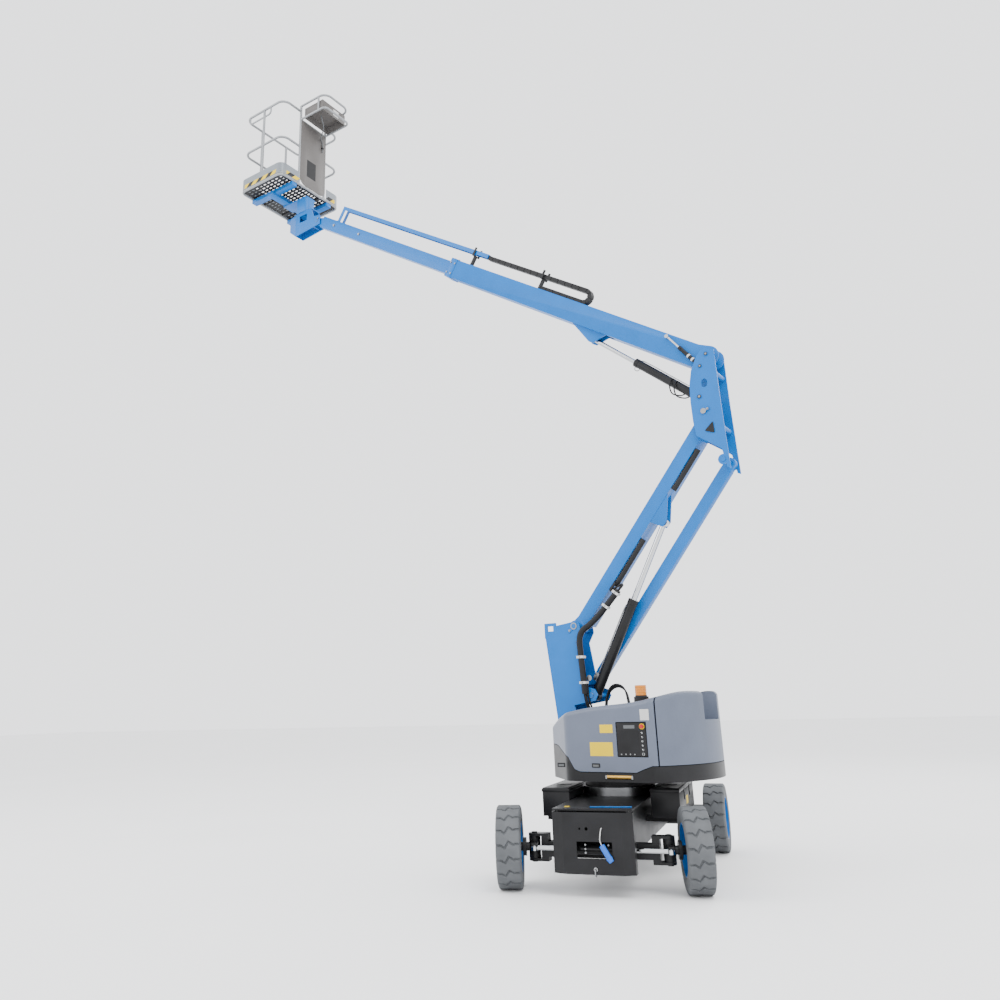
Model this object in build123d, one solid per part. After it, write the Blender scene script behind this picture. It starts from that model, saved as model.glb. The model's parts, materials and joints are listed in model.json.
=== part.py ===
from build123d import *
from math import atan2, cos, degrees, hypot, radians, sin
import os

# Articulating boom lift, self-propelled, battery electric. Millimetres, +Z up.
# The origin is on the floor under the slew axis; the steered axle is at -Y.
# The boom, the turntable and the platform are drawn along a local +X, turned to SLEW_REST.

# Driving dimensions: pose as it stands
SLEW_REST = 164.5
STEER_REST = 13.4
RISER_REST = 51.2
BOOM_REST = 33.6

# Driving dimensions: wheels and chassis
WHEELBASE = 1900
TRACK = 1320
TYRE_RADIUS = 279
TYRE_WIDTH = 180
RIM_RADIUS = 172
RIM_WALL = 8
HAND_HOLES = 8
HUB_RADIUS = 70
SPINDLE_RADIUS = 30
LUG_DEPTH = 11
LUG_COUNT = 18
LUG_GAP = 9
LUG_LENGTH = 42
KINGPIN_X = 480
KINGPIN_RADIUS = 20
STEER_ARM = 110
DECK_TOP = 560
DECK_THICK = 12
FRAME_HALF = 250
FRAME_BOTTOM = 250
FRAME_FRONT = 1190
FRAME_REAR = 1150
WEB_THICK = 12
NOSE_Y = -1220
NOSE_BOTTOM = 150
NOSE_TOP = 540
NOSE_HALF = 205
NOSE_FLANGE_HALF = 282
NOSE_SHEET = 10
LASHING_RADIUS = 14
LASHING_X = 12
LASHING_Z = 182
PLATE_HOLES = ((-84, 7), (-37, 11), (67, 7))
HOLE_DROP = 104
AXLE_Z = TYRE_RADIUS
BATTERY_IN = 312
BATTERY_OUT = 525
BATTERY_BOTTOM = 432
BATTERY_TOP = 608
BATTERY_LENGTH = 1000
BATTERY_LID = 30
TRAY_WALL = 6

# Driving dimensions: turntable
RING_RADIUS = 300
RING_BORE = 215
RING_HEIGHT = 62
RING_GAP = 0.5
TABLE_BOTTOM = 690
TABLE_THICK = 25
TAIL_RADIUS = 840
SIDE_HALF = 600
TRENCH_HALF = 150
SEAM_X = -610
SEAM_GAP = 10
SPLIT_TAIL_Z = 806
COWL_WALL = 8
COWL_FRONT_Z = 1110
COWL_MIDDLE_Z = 1240
TABLE_NOSE = 480
COWL_SEAM_Z = 1300
TAIL_TOP_Z = 1335
COWL_GAP = 5
COWL_ROUND = 38
HINGE_RADIUS = 8
HINGE_Z = 1250
HINGE_POSTS = (-580, -300)
BEACON_X = -405
BEACON_Y = 350

# Driving dimensions: mast, riser arm, link and knuckle
PLATE_IN = 118
PLATE_THICK = 12
MAST_PIVOT_X = 266
MAST_PIVOT_Z = 1905
LINK_DX = -117
LINK_DZ = -439
CYL_DX = -124
CYL_DZ = -579
ARM_LENGTH = 2148
ARM_TOP = 30
ARM_UNDER = 85
ARM_HALF = 88
ARM_WALL = 6
CONDUIT_R = 22
CONDUIT_RUNS = ((490, 960), (1450, 1850))
PIN_RADIUS = 20
PIN_CLEAR = 0.08
BOSS_RADIUS = 48
LINK_Y = -60
LINK_WIDTH = 66
LINK_DEPTH = 96
KNUCKLE_DX = 74
KNUCKLE_DZ = -499

# Driving dimensions: cylinders
LIFT_Y = 38
LIFT_BARREL_R = 42
LIFT_ROD_R = 23
LIFT_EYE_R = 35
LIFT_BARREL = 870
LIFT_ALONG = 1175
LIFT_BELOW = 175
UP_BARREL_R = 38
UP_ROD_R = 21
UP_EYE_R = 33
UP_BARREL = 778
UP_BASE_X = 95
UP_BASE_Z = -365
UP_ALONG = 1194
UP_BELOW = 200
LIFT_CLOSING = 590
UP_CLOSING = 288
LEVEL_CLOSING = 88
EYE_HALF = 28
EYE_GAP = 6
LUG_PLATE = 12
LEVEL_Y = 96
LEVEL_R = 17
LEVEL_ROD_R = 9
LEVEL_BASE_X = 62
LEVEL_BASE_Z = -96
LEVEL_ALONG = 427
LEVEL_UP = 34
LEVEL_BARREL = 290

# Driving dimensions: upper boom
BOOM_HALF = 72
BOOM_TOP = 66
BOOM_UNDER = 134
BOOM_WALL = 6
BOOM_LENGTH = 3225
BOOM_TAIL = 90
BOOM_BOSS = 42
INNER_HALF = 52
INNER_TOP = 36
INNER_UNDER = 108
INNER_START = 2600
INNER_END = 5560
PAD_GAP = 0.5
LEVEL_PIVOT = 5640
LEVEL_PIVOT_DROP = 50
CHAIN_WIDTH = 60
CHAIN_DEPTH = 44
CHAIN_LOW = 86
CHAIN_HIGH = 205
CHAIN_END = 1470
CHAIN_FIXED = 1980
CHAIN_FREE = 2790
CHAIN_PITCH = 90
CHAIN_TURN = 4
LINK_NOTCH = 6
TRAY_START = 2795
TRAY_END = 5300
TRAY_SHEET = 3
TRAY_CLEAR = 6
STAND_A = 2990
STAND_B = 2020

# Driving dimensions: platform
ROTATOR_X = 3850
SHAFT_RADIUS = 30
HEAD_REACH = 98
BOW_LENGTH = 140
FLOOR_IN = 3730
PLATFORM_DEPTH = 760
PLATFORM_NEAR = 555
PLATFORM_WIDTH = 1060
FLOOR_TOP = 7690
FLOOR_THICK = 30
FLOOR_TUBE = 15
FLOOR_SLOTS = (9, 19)
PAN_INSET = 44
RAIL_HEIGHT = 1100
MID_HEIGHT = 550
RAIL_R = 16
RAIL_BEND = 110
RAIL_INSET = 24
WELD_GAP = 0.3
OUTER_POSTS = (-190, 240)
TOE_HEIGHT = 150
TOE_SHEET = 4
PANEL_HALF = 225
BOX_REACH = 410
BOX_LOW = 960
BOX_HIGH = 1165
BOX_DEPTH = 150

WHEEL_Y = WHEELBASE / 2
HALF_TRACK = TRACK / 2
WHEEL_OFFSET = HALF_TRACK - KINGPIN_X

PARTS = {}


def add(name, shape, frame=None):
    PARTS[name] = frame * shape if frame is not None else shape


def block(x0, x1, y0, y1, z0, z1):
    return Pos((x0 + x1) / 2, (y0 + y1) / 2, (z0 + z1) / 2) * Box(x1 - x0, y1 - y0, z1 - z0)


def bar_y(x, z, radius, y0, y1):
    return Pos(x, (y0 + y1) / 2, z) * Rot(90, 0, 0) * Cylinder(radius, y1 - y0)


def bar_x(y, z, radius, x0, x1):
    return Pos((x0 + x1) / 2, y, z) * Rot(0, 90, 0) * Cylinder(radius, x1 - x0)


def bar_z(x, y, radius, z0, z1):
    return Pos(x, y, (z0 + z1) / 2) * Cylinder(radius, z1 - z0)


def profile(points, y0, y1):
    """A closed outline of (x, z) corners, as thick as y0 to y1."""
    face = make_face(Polyline([(x, 0, z) for x, z in points], close=True))
    return Pos(0, y0, 0) * extrude(face, amount=y1 - y0, dir=(0, 1, 0))


def plan(points, z0, z1):
    """A closed outline of (x, y) corners, as high as z0 to z1."""
    face = make_face(Polyline([(x, y, 0) for x, y in points], close=True))
    return Pos(0, 0, z0) * extrude(face, amount=z1 - z0, dir=(0, 0, 1))


def strap(x0, z0, r0, x1, z1, r1, y0, y1):
    """A plate with two round ends of their own radii and straight tangent sides."""
    span = hypot(x1 - x0, z1 - z0)
    lean = atan2(z1 - z0, x1 - x0)
    tilt = radians(90) - atan2(r0 - r1, span)
    sides = []
    for sign in (1, -1):
        out = lean + sign * tilt
        sides.append((x0 + r0 * cos(out), z0 + r0 * sin(out)))
        sides.append((x1 + r1 * cos(out), z1 + r1 * sin(out)))
    body = profile([sides[0], sides[1], sides[3], sides[2]], y0, y1)
    return body + bar_y(x0, z0, r0, y0, y1) + bar_y(x1, z1, r1, y0, y1)


def tube(points, radius, bend):
    """A round bar along straight runs joined by tangent arcs."""
    path = FilletPolyline(points, radius=bend) if len(points) > 2 else Line(*points)
    start = path % 0
    return sweep(Plane(points[0], z_dir=start) * Circle(radius), path=path)


def box_beam(x0, x1, half, z0, z1, wall):
    """A straight tube of rectangular section, open at both ends."""
    inner = block(x0 - 1, x1 + 1, wall - half, half - wall, z0 + wall, z1 - wall)
    return block(x0, x1, -half, half, z0, z1) - inner


def turned(x, z, lean):
    """The point (x, z) of a frame that leans by an angle in degrees."""
    return (x * cos(radians(lean)) - z * sin(radians(lean)),
            x * sin(radians(lean)) + z * cos(radians(lean)))


def leaning(x, z, lean):
    """A frame at (x, z) whose +X leans up by an angle in degrees."""
    return TURN * Pos(x, 0, z) * Rot(0, -lean, 0)


# Frames of the moving groups, all from the driving dimensions
TURN = Rot(0, 0, SLEW_REST)
ARM_LEAN = 180 - RISER_REST
arm_dx, arm_dz = turned(ARM_LENGTH, 0, ARM_LEAN)
ARM_TOP_X = MAST_PIVOT_X + arm_dx
ARM_TOP_Z = MAST_PIVOT_Z + arm_dz
BOOM_X = ARM_TOP_X - KNUCKLE_DX
BOOM_Z = ARM_TOP_Z - KNUCKLE_DZ
ARM = leaning(MAST_PIVOT_X, MAST_PIVOT_Z, ARM_LEAN)
LINK = leaning(MAST_PIVOT_X + LINK_DX, MAST_PIVOT_Z + LINK_DZ, ARM_LEAN)
KNUCKLE = TURN * Pos(BOOM_X, 0, BOOM_Z)
BOOM = leaning(BOOM_X, BOOM_Z, BOOM_REST)
nose_dx, nose_dz = turned(LEVEL_PIVOT, -LEVEL_PIVOT_DROP, BOOM_REST)
NOSE_X = BOOM_X + nose_dx
NOSE_Z = BOOM_Z + nose_dz


def cylinder_frame(base, eye):
    """The frame from a cylinder's base pin towards its rod's eye, and the distance."""
    lean = degrees(atan2(eye[1] - base[1], eye[0] - base[0]))
    return leaning(base[0], base[1], lean), hypot(eye[0] - base[0], eye[1] - base[1])


lift_base = (MAST_PIVOT_X + CYL_DX, MAST_PIVOT_Z + CYL_DZ)
eye_dx, eye_dz = turned(LIFT_ALONG, LIFT_BELOW, ARM_LEAN)
lift_eye = (MAST_PIVOT_X + eye_dx, MAST_PIVOT_Z + eye_dz)
LIFT, LIFT_LENGTH = cylinder_frame(lift_base, lift_eye)
up_base = (BOOM_X + UP_BASE_X, BOOM_Z + UP_BASE_Z)
up_dx, up_dz = turned(UP_ALONG, -UP_BELOW, BOOM_REST)
up_eye = (BOOM_X + up_dx, BOOM_Z + up_dz)
UPLIFT, UP_REACH = cylinder_frame(up_base, up_eye)
level_base = (BOOM_X + LEVEL_BASE_X, BOOM_Z + LEVEL_BASE_Z)
level_dx, level_dz = turned(LEVEL_ALONG, LEVEL_UP, BOOM_REST)
level_eye = (BOOM_X + level_dx, BOOM_Z + level_dz)
LEVEL, LEVEL_REACH = cylinder_frame(level_base, level_eye)


def lugged_tyre():
    """A solid tyre about the X axis, its shoulders cut into lugs, staggered between the two sides."""
    out = TYRE_WIDTH / 2
    tyre = bar_x(0, 0, TYRE_RADIUS, -out, out)
    pitch = 360 / LUG_COUNT
    grooves = []
    for n in range(LUG_COUNT):
        for side in (-1, 1):
            groove = Pos(side * out, 0, TYRE_RADIUS) * Box(2 * LUG_LENGTH, LUG_GAP, 2 * LUG_DEPTH)
            grooves.append(Rot((n + side / 4) * pitch, 0, 0) * groove)
    tyre -= grooves
    return tyre - bar_x(0, 0, RIM_RADIUS + 0.3, -out - 1, out + 1)


def wheel_rim(side):
    """A rim about the X axis with a dished disc, hub and hand holes, outer face on the side given."""
    out = TYRE_WIDTH / 2
    disc_x = side * 20
    rim = bar_x(0, 0, RIM_RADIUS, -out + 6, out - 6)
    rim -= bar_x(0, 0, RIM_RADIUS - RIM_WALL, -out, out)
    disc = bar_x(0, 0, RIM_RADIUS - RIM_WALL / 2, disc_x - 7, disc_x + 7)
    for n in range(HAND_HOLES):
        disc -= Rot(n * 360 / HAND_HOLES, 0, 0) * bar_x(0, 120, 17, disc_x - 8, disc_x + 8)
    rim += disc
    rim += bar_x(0, 0, HUB_RADIUS + 14, disc_x - 12, disc_x + 12)
    rim += bar_x(0, 0, HUB_RADIUS, disc_x - 30, disc_x + 30)
    bore = sorted((disc_x - side * 31, disc_x + side * 12))
    return rim - bar_x(0, 0, SPINDLE_RADIUS + PIN_CLEAR, *bore)


def wheels_and_knuckles():
    tyre = lugged_tyre()
    for name, side in (("right", 1), ("left", -1)):
        pivot = Pos(side * KINGPIN_X, -WHEEL_Y, AXLE_Z) * Rot(0, 0, STEER_REST)
        front = pivot * Pos(side * WHEEL_OFFSET, 0, 0)
        add(f"rim_front_{name}", wheel_rim(side), front)
        add(f"tyre_front_{name}", tyre, front)
        knuckle = bar_z(0, 0, 42, -72, 72) - bar_z(0, 0, KINGPIN_RADIUS + PIN_CLEAR, -80, 80)
        stub = sorted((side * 36, side * (WHEEL_OFFSET + 30)))
        knuckle += bar_x(0, 0, SPINDLE_RADIUS, *stub)
        flange = sorted((side * 60, side * 84))
        knuckle += bar_x(0, 0, 62, *flange)
        arm = plan([(-26, -30), (26, -30), (20, -STEER_ARM - 24), (-20, -STEER_ARM - 24)], 22, 38)
        knuckle += arm
        add(f"steer_knuckle_{name}", pivot * knuckle)
        rear = Pos(side * HALF_TRACK, WHEEL_Y, AXLE_Z)
        add(f"rim_rear_{name}", wheel_rim(side), rear)
        add(f"tyre_rear_{name}", tyre, rear)


def chassis():
    frame = block(-FRAME_HALF - 30, FRAME_HALF + 30, -FRAME_FRONT, FRAME_REAR,
                  DECK_TOP - DECK_THICK, DECK_TOP)
    for side in (-1, 1):
        web = sorted((side * FRAME_HALF, side * (FRAME_HALF - WEB_THICK)))
        frame += block(*web, -FRAME_FRONT, FRAME_REAR, FRAME_BOTTOM, DECK_TOP - DECK_THICK)
    inner = FRAME_HALF - WEB_THICK
    frame += block(-inner, inner, -700, 700, FRAME_BOTTOM, FRAME_BOTTOM + WEB_THICK)
    for y in (-700, 0, 700, FRAME_REAR - WEB_THICK):
        frame += block(-inner, inner, y, y + WEB_THICK, FRAME_BOTTOM, DECK_TOP - DECK_THICK)
    for side in (-1, 1):
        web = sorted((side * (FRAME_HALF + 1), side * (inner - 1)))
        frame -= block(*web, -WHEEL_Y - 45, -WHEEL_Y + 45, FRAME_BOTTOM - 1, AXLE_Z + 40)
        frame -= block(*web, -WHEEL_Y - STEER_ARM - 60, -WHEEL_Y - 30, FRAME_BOTTOM - 1, AXLE_Z + 60)
        frame -= bar_x(WHEEL_Y, AXLE_Z, 59, *web)
        reach = sorted((side * FRAME_HALF, side * BATTERY_OUT))
        for y in (-BATTERY_LENGTH / 3, 0, BATTERY_LENGTH / 3):
            frame += block(*reach, y - 30, y + 30, BATTERY_BOTTOM - 40, BATTERY_BOTTOM)
    add("chassis_frame", frame)

    back = NOSE_Y + 32
    outline = [(-NOSE_FLANGE_HALF, -1120), (-NOSE_FLANGE_HALF, back), (-NOSE_HALF, NOSE_Y),
               (NOSE_HALF, NOSE_Y), (NOSE_FLANGE_HALF, back), (NOSE_FLANGE_HALF, -1120)]
    inner_half = NOSE_FLANGE_HALF - NOSE_SHEET
    outline += [(inner_half, -1120), (inner_half, back + 5), (NOSE_HALF - 4, NOSE_Y + NOSE_SHEET),
                (4 - NOSE_HALF, NOSE_Y + NOSE_SHEET), (-inner_half, back + 5), (-inner_half, -1120)]
    nose = plan(outline, NOSE_BOTTOM, NOSE_TOP)
    nose -= block(-110, 135, NOSE_Y - 5, NOSE_Y + NOSE_SHEET + 5, 250, 355)
    holes = [(LASHING_X, LASHING_Z, LASHING_RADIUS)]
    holes += [(x, NOSE_TOP - HOLE_DROP, radius) for x, radius in PLATE_HOLES]
    for x, z, radius in holes:
        nose -= bar_y(x, z, radius, NOSE_Y - 1, NOSE_Y + NOSE_SHEET + 1)
    nose += block(-NOSE_HALF, NOSE_HALF, NOSE_Y + NOSE_SHEET - 1, -FRAME_FRONT, NOSE_TOP - 10, NOSE_TOP)
    nose += block(-FRAME_HALF, FRAME_HALF, -FRAME_FRONT - 6, -FRAME_FRONT, NOSE_TOP - 60, NOSE_TOP)
    add("front_plate", nose)

    beam = block(-KINGPIN_X + 60, KINGPIN_X - 60, -WHEEL_Y - 45, -WHEEL_Y + 45, AXLE_Z - 60, AXLE_Z + 40)
    for side in (-1, 1):
        for low, high in ((-92, -74), (74, 92)):
            reach = sorted((side * (KINGPIN_X - 110), side * KINGPIN_X))
            beam += block(*reach, -WHEEL_Y - 42, -WHEEL_Y + 42, AXLE_Z + low, AXLE_Z + high)
            beam += bar_z(side * KINGPIN_X, -WHEEL_Y, 42, AXLE_Z + low, AXLE_Z + high)
        beam += bar_z(side * KINGPIN_X, -WHEEL_Y, KINGPIN_RADIUS, AXLE_Z - 100, AXLE_Z + 100)
        web = sorted((side * (KINGPIN_X - 112), side * (KINGPIN_X - 60)))
        beam += block(*web, -WHEEL_Y - 42, -WHEEL_Y + 42, AXLE_Z - 92, AXLE_Z + 92)
    add("steer_axle", beam)

    steer_y = -WHEEL_Y - STEER_ARM * 0.95
    barrel = bar_x(steer_y, AXLE_Z + 6, 34, -210, 210) - bar_x(steer_y, AXLE_Z + 6, 16.5, -220, 220)
    for side in (-1, 1):
        foot = sorted((side * 150, side * 190))
        barrel += block(*foot, steer_y + 20, -WHEEL_Y - 45.3, AXLE_Z - 30, AXLE_Z + 30)
        barrel -= bar_x(steer_y, AXLE_Z + 6, 16.5, -220, 220)
    add("steer_barrel", barrel)

    shift = STEER_ARM * sin(radians(STEER_REST))
    rod = bar_x(steer_y, AXLE_Z + 6, 16, shift - KINGPIN_X + 20, shift + KINGPIN_X - 20)
    for side in (-1, 1):
        x = shift + side * KINGPIN_X
        rod += bar_z(x, steer_y, 24, AXLE_Z - 12, AXLE_Z + 16)
        rod += bar_z(x, steer_y, 10, AXLE_Z + 16, AXLE_Z + 21.7)
    add("steer_rod", rod)

    axle = bar_x(WHEEL_Y, AXLE_Z, 58, -460, 460)
    axle += block(-150, 150, WHEEL_Y - 110, WHEEL_Y + 110, AXLE_Z - 100, AXLE_Z + 120)
    for side in (-1, 1):
        drum = sorted((side * 450, side * (HALF_TRACK - 45)))
        axle += bar_x(WHEEL_Y, AXLE_Z, 105, *drum)
        stub = sorted((side * 600, side * (HALF_TRACK + 30)))
        axle += bar_x(WHEEL_Y, AXLE_Z, SPINDLE_RADIUS, *stub)
        mount = sorted((side * 190, side * (FRAME_HALF - WEB_THICK)))
        axle += block(*mount, WHEEL_Y - 60, WHEEL_Y + 60, AXLE_Z, AXLE_Z + 200)
    add("drive_axle", axle)

    half = BATTERY_LENGTH / 2
    for name, side in (("right", 1), ("left", -1)):
        xs = sorted((side * BATTERY_IN, side * BATTERY_OUT))
        tray = block(*xs, -half, half, BATTERY_BOTTOM, BATTERY_TOP)
        tray -= block(xs[0] + TRAY_WALL, xs[1] - TRAY_WALL, TRAY_WALL - half, half - TRAY_WALL,
                      BATTERY_BOTTOM + TRAY_WALL, BATTERY_TOP + 1)
        add(f"battery_tray_{name}", tray)
        lid = block(xs[0] - 4, xs[1] + 4, -half - 6, half + 6, BATTERY_TOP + 0.3, BATTERY_TOP + BATTERY_LID)
        add(f"battery_lid_{name}", chamfer(lid.edges().group_by(Axis.Z)[-1], 10))
        pack = block(xs[0] + 20, xs[1] - 20, 30 - half, half - 30, BATTERY_BOTTOM + TRAY_WALL, BATTERY_TOP - 8)
        add(f"batteries_{name}", pack)

    ring = bar_z(0, 0, RING_RADIUS, DECK_TOP, DECK_TOP + RING_HEIGHT)
    add("slew_ring", ring - bar_z(0, 0, RING_BORE, DECK_TOP - 1, DECK_TOP + RING_HEIGHT + 1))


def table_plan(inset, z0, z1):
    """The turntable's plan: flat sides, a round tail and rounded front corners."""
    half = SIDE_HALF - inset
    tail = TAIL_RADIUS - inset
    nose = TABLE_NOSE - inset
    middle = SEAM_X + 400
    body = Circle(tail) & Pos(middle - tail, 0) * Rectangle(2 * tail, 2 * half)
    body += make_face(Polyline((middle - 1, -half), (150, -half), (nose, -230), (nose, 230), (150, half),
                               (middle - 1, half), close=True))
    corners = body.vertices().filter_by(lambda v: v.X > 100)
    body = fillet(corners, 110)
    tails = body.vertices().filter_by(lambda v: v.X < SEAM_X + 60)
    body = fillet(tails, 60)
    return Pos(0, 0, z0) * extrude(body, amount=z1 - z0)


def under_crown(inset, low):
    """Side view of the cowls and the tail: low at the front, rising to the tail's crown."""
    top = Spline((TABLE_NOSE + 40, 0, COWL_FRONT_Z - 50 - inset), (TABLE_NOSE - 60, 0, COWL_FRONT_Z - inset),
                 (-160, 0, COWL_MIDDLE_Z - inset), (SEAM_X, 0, COWL_SEAM_Z - inset),
                 (-740, 0, TAIL_TOP_Z - inset), (-TAIL_RADIUS - 40, 0, TAIL_TOP_Z - 45 - inset))
    rest = Polyline(top @ 1, (-TAIL_RADIUS - 40, 0, low), (TABLE_NOSE + 40, 0, low), top @ 0)
    face = make_face([top, rest])
    return Pos(0, -SIDE_HALF - 5, 0) * extrude(face, amount=2 * SIDE_HALF + 10, dir=(0, 1, 0))


def split_line(gap):
    """What lies under the cowls' lower edge, which steps up over the front and the tail."""
    return profile([(520, 955 - gap), (330, 940 - gap), (140, 862 - gap), (85, 775 - gap), (40, 758 - gap),
                    (-430, 758 - gap), (-490, 782 - gap), (-560, SPLIT_TAIL_Z - gap), (-900, SPLIT_TAIL_Z - gap),
                    (-900, 600), (520, 600)], -SIDE_HALF - 5, SIDE_HALF + 5)


def crowned(inset, low):
    """The turntable's plan under its side view, with the top's rim rounded off."""
    body = table_plan(inset, low, TAIL_TOP_Z + 60) & under_crown(inset, low - 1)
    rim = body.faces().sort_by(Axis.Z)[-1].edges()
    return fillet(rim, COWL_ROUND - inset)


def turntable():
    table = table_plan(COWL_WALL, TABLE_BOTTOM, TABLE_BOTTOM + TABLE_THICK)
    ring_top = DECK_TOP + RING_HEIGHT + RING_GAP
    table += bar_z(0, 0, RING_RADIUS - 20, ring_top, TABLE_BOTTOM)
    table -= bar_z(0, 0, 120, ring_top - 1, TABLE_BOTTOM + TABLE_THICK + 1)
    for side in (-1, 1):
        wall = sorted((side * TRENCH_HALF, side * (TRENCH_HALF - 8)))
        table += block(SEAM_X + SEAM_GAP, MAST_PIVOT_X - 62, *wall, TABLE_BOTTOM + TABLE_THICK, 1080)
    table += block(SEAM_X + SEAM_GAP, MAST_PIVOT_X - 62, -TRENCH_HALF, TRENCH_HALF, 1040, 1050)
    hinge_y = TRENCH_HALF + 2
    for side in (-1, 1):
        wall = sorted((side * TRENCH_HALF, side * (TRENCH_HALF - 8)))
        for x in HINGE_POSTS:
            table += block(x - 12, x + 12, *wall, 1079, HINGE_Z + HINGE_RADIUS)
        table += bar_x(side * hinge_y, HINGE_Z, HINGE_RADIUS, HINGE_POSTS[0] - 12, HINGE_POSTS[1] + 12)
    add("turntable_frame", table, TURN)

    add("mast", mast_shape(), TURN)

    outer = crowned(0, TABLE_BOTTOM)
    shell = outer - crowned(COWL_WALL, TABLE_BOTTOM - 1)
    lower = split_line(COWL_GAP / 2)
    upper = split_line(-COWL_GAP / 2)
    add("lower_skirt", shell & lower, TURN)

    tail_low = SPLIT_TAIL_Z + COWL_GAP / 2
    tail = outer & block(-TAIL_RADIUS - 5, SEAM_X, -SIDE_HALF, SIDE_HALF, tail_low, TAIL_TOP_Z + 60)
    tail -= block(-TAIL_RADIUS - 5, SEAM_X + 1, -TRENCH_HALF, TRENCH_HALF, 1120, TAIL_TOP_Z + 61)
    add("counterweight", tail, TURN)
    foot = table_plan(60, TABLE_BOTTOM + TABLE_THICK, tail_low)
    foot &= block(-TAIL_RADIUS, SEAM_X, -520, 520, 600, tail_low)
    add("counterweight_base", foot, TURN)

    shell -= upper
    for name, side in (("near", 1), ("far", -1)):
        ys = sorted((side * (TRENCH_HALF + 10), side * (SIDE_HALF + 1)))
        cowl = shell & block(SEAM_X + SEAM_GAP, TABLE_NOSE + 1, *ys, TABLE_BOTTOM, TAIL_TOP_Z)
        edge = sorted((side * (TRENCH_HALF + 10), side * (TRENCH_HALF + 10 + COWL_WALL)))
        inner = block(SEAM_X + SEAM_GAP, TABLE_NOSE, *edge, 965, TAIL_TOP_Z)
        cowl += inner & outer
        for x in (HINGE_POSTS[0] + 40, HINGE_POSTS[1] - 40):
            lug = sorted((side * (TRENCH_HALF - 8), side * (TRENCH_HALF + 12)))
            cowl += block(x - 20, x + 20, *lug, HINGE_Z - 12, HINGE_Z + 12)
        cowl -= bar_x(side * (TRENCH_HALF + 2), HINGE_Z, HINGE_RADIUS + PIN_CLEAR, HINGE_POSTS[0] - 13,
                      HINGE_POSTS[1] + 13)
        if side > 0:
            cowl -= block(-535, -285, SIDE_HALF - 60, SIDE_HALF + 5, 868, 1120)
        add(f"cowl_{name}", cowl, TURN)

    panel = block(-530, -290, SIDE_HALF - 30, SIDE_HALF - 4, 873, 1115)
    panel += block(-500, -320, 420, SIDE_HALF - 30, 900, 1090)
    panel += block(-430, -390, 440, 500, TABLE_BOTTOM + TABLE_THICK, 900)
    add("ground_controls", panel, TURN)
    unit = block(-520, 60, -520, -200, TABLE_BOTTOM + TABLE_THICK, 950)
    add("hydraulic_unit", unit, TURN)
    beacon = bar_z(BEACON_X, BEACON_Y, 56, 1240, 1300) + bar_z(BEACON_X, BEACON_Y, 44, 1300, 1388)
    beacon -= outer
    add("beacon", beacon, TURN)


def mast_shape():
    px, pz = MAST_PIVOT_X, MAST_PIVOT_Z
    foot = TABLE_BOTTOM + TABLE_THICK
    edge = [(px + 180, pz + 14), (px - 10, pz + 40), (px - 52, pz + 10), (px - 60, pz - 46),
            (px - 9, pz - 134), (px - 43, pz - 349), (px - 61, pz - 500), (px - 100, pz - 512),
            (px - 160, pz - 530), (px - 184, pz - 579), (px - 160, pz - 622), (px + 40, pz - 655),
            (px - 60, foot), (px + 157, foot), (px + 291, pz - 51), (px + 291, pz - 30), (px + 180, pz - 30)]
    shape = None
    for side in (-1, 1):
        ys = sorted((side * PLATE_IN, side * (PLATE_IN + PLATE_THICK)))
        cheek = profile(edge, *ys)
        lug = block(px + 178, px + 292, *ys, pz - 90, pz + 40)
        lug -= block(px + 205, px + 262, *[y for y in (ys[0] - 1, ys[1] + 1)], pz - 35, pz + 14)
        cheek += lug
        shape = cheek if shape is None else shape + cheek
    front = [(px + 157, foot), (px + 285, pz - 90), (px + 273, pz - 90), (px + 145, foot)]
    shape += profile(front, -PLATE_IN, PLATE_IN)
    for y in (-PLATE_IN, LINK_Y + LINK_WIDTH / 2 + EYE_GAP):
        shape += strap(px + 190, pz + LINK_DZ, 60, px + LINK_DX, pz + LINK_DZ, 46, y, y + LUG_PLATE)
    shape += profile([(px - 60, foot), (px - 48, foot), (px - 20, foot + 380), (px - 32, foot + 380)],
                     -PLATE_IN, PLATE_IN)
    out = PLATE_IN + PLATE_THICK + 8
    for dx, dz in ((0, 0), (CYL_DX, CYL_DZ)):
        shape += bar_y(px + dx, pz + dz, PIN_RADIUS, -out, out)
    inner = LINK_Y + LINK_WIDTH / 2 + EYE_GAP + LUG_PLATE
    shape += bar_y(px + LINK_DX, pz + LINK_DZ, PIN_RADIUS, -out, inner)
    return shape


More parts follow.
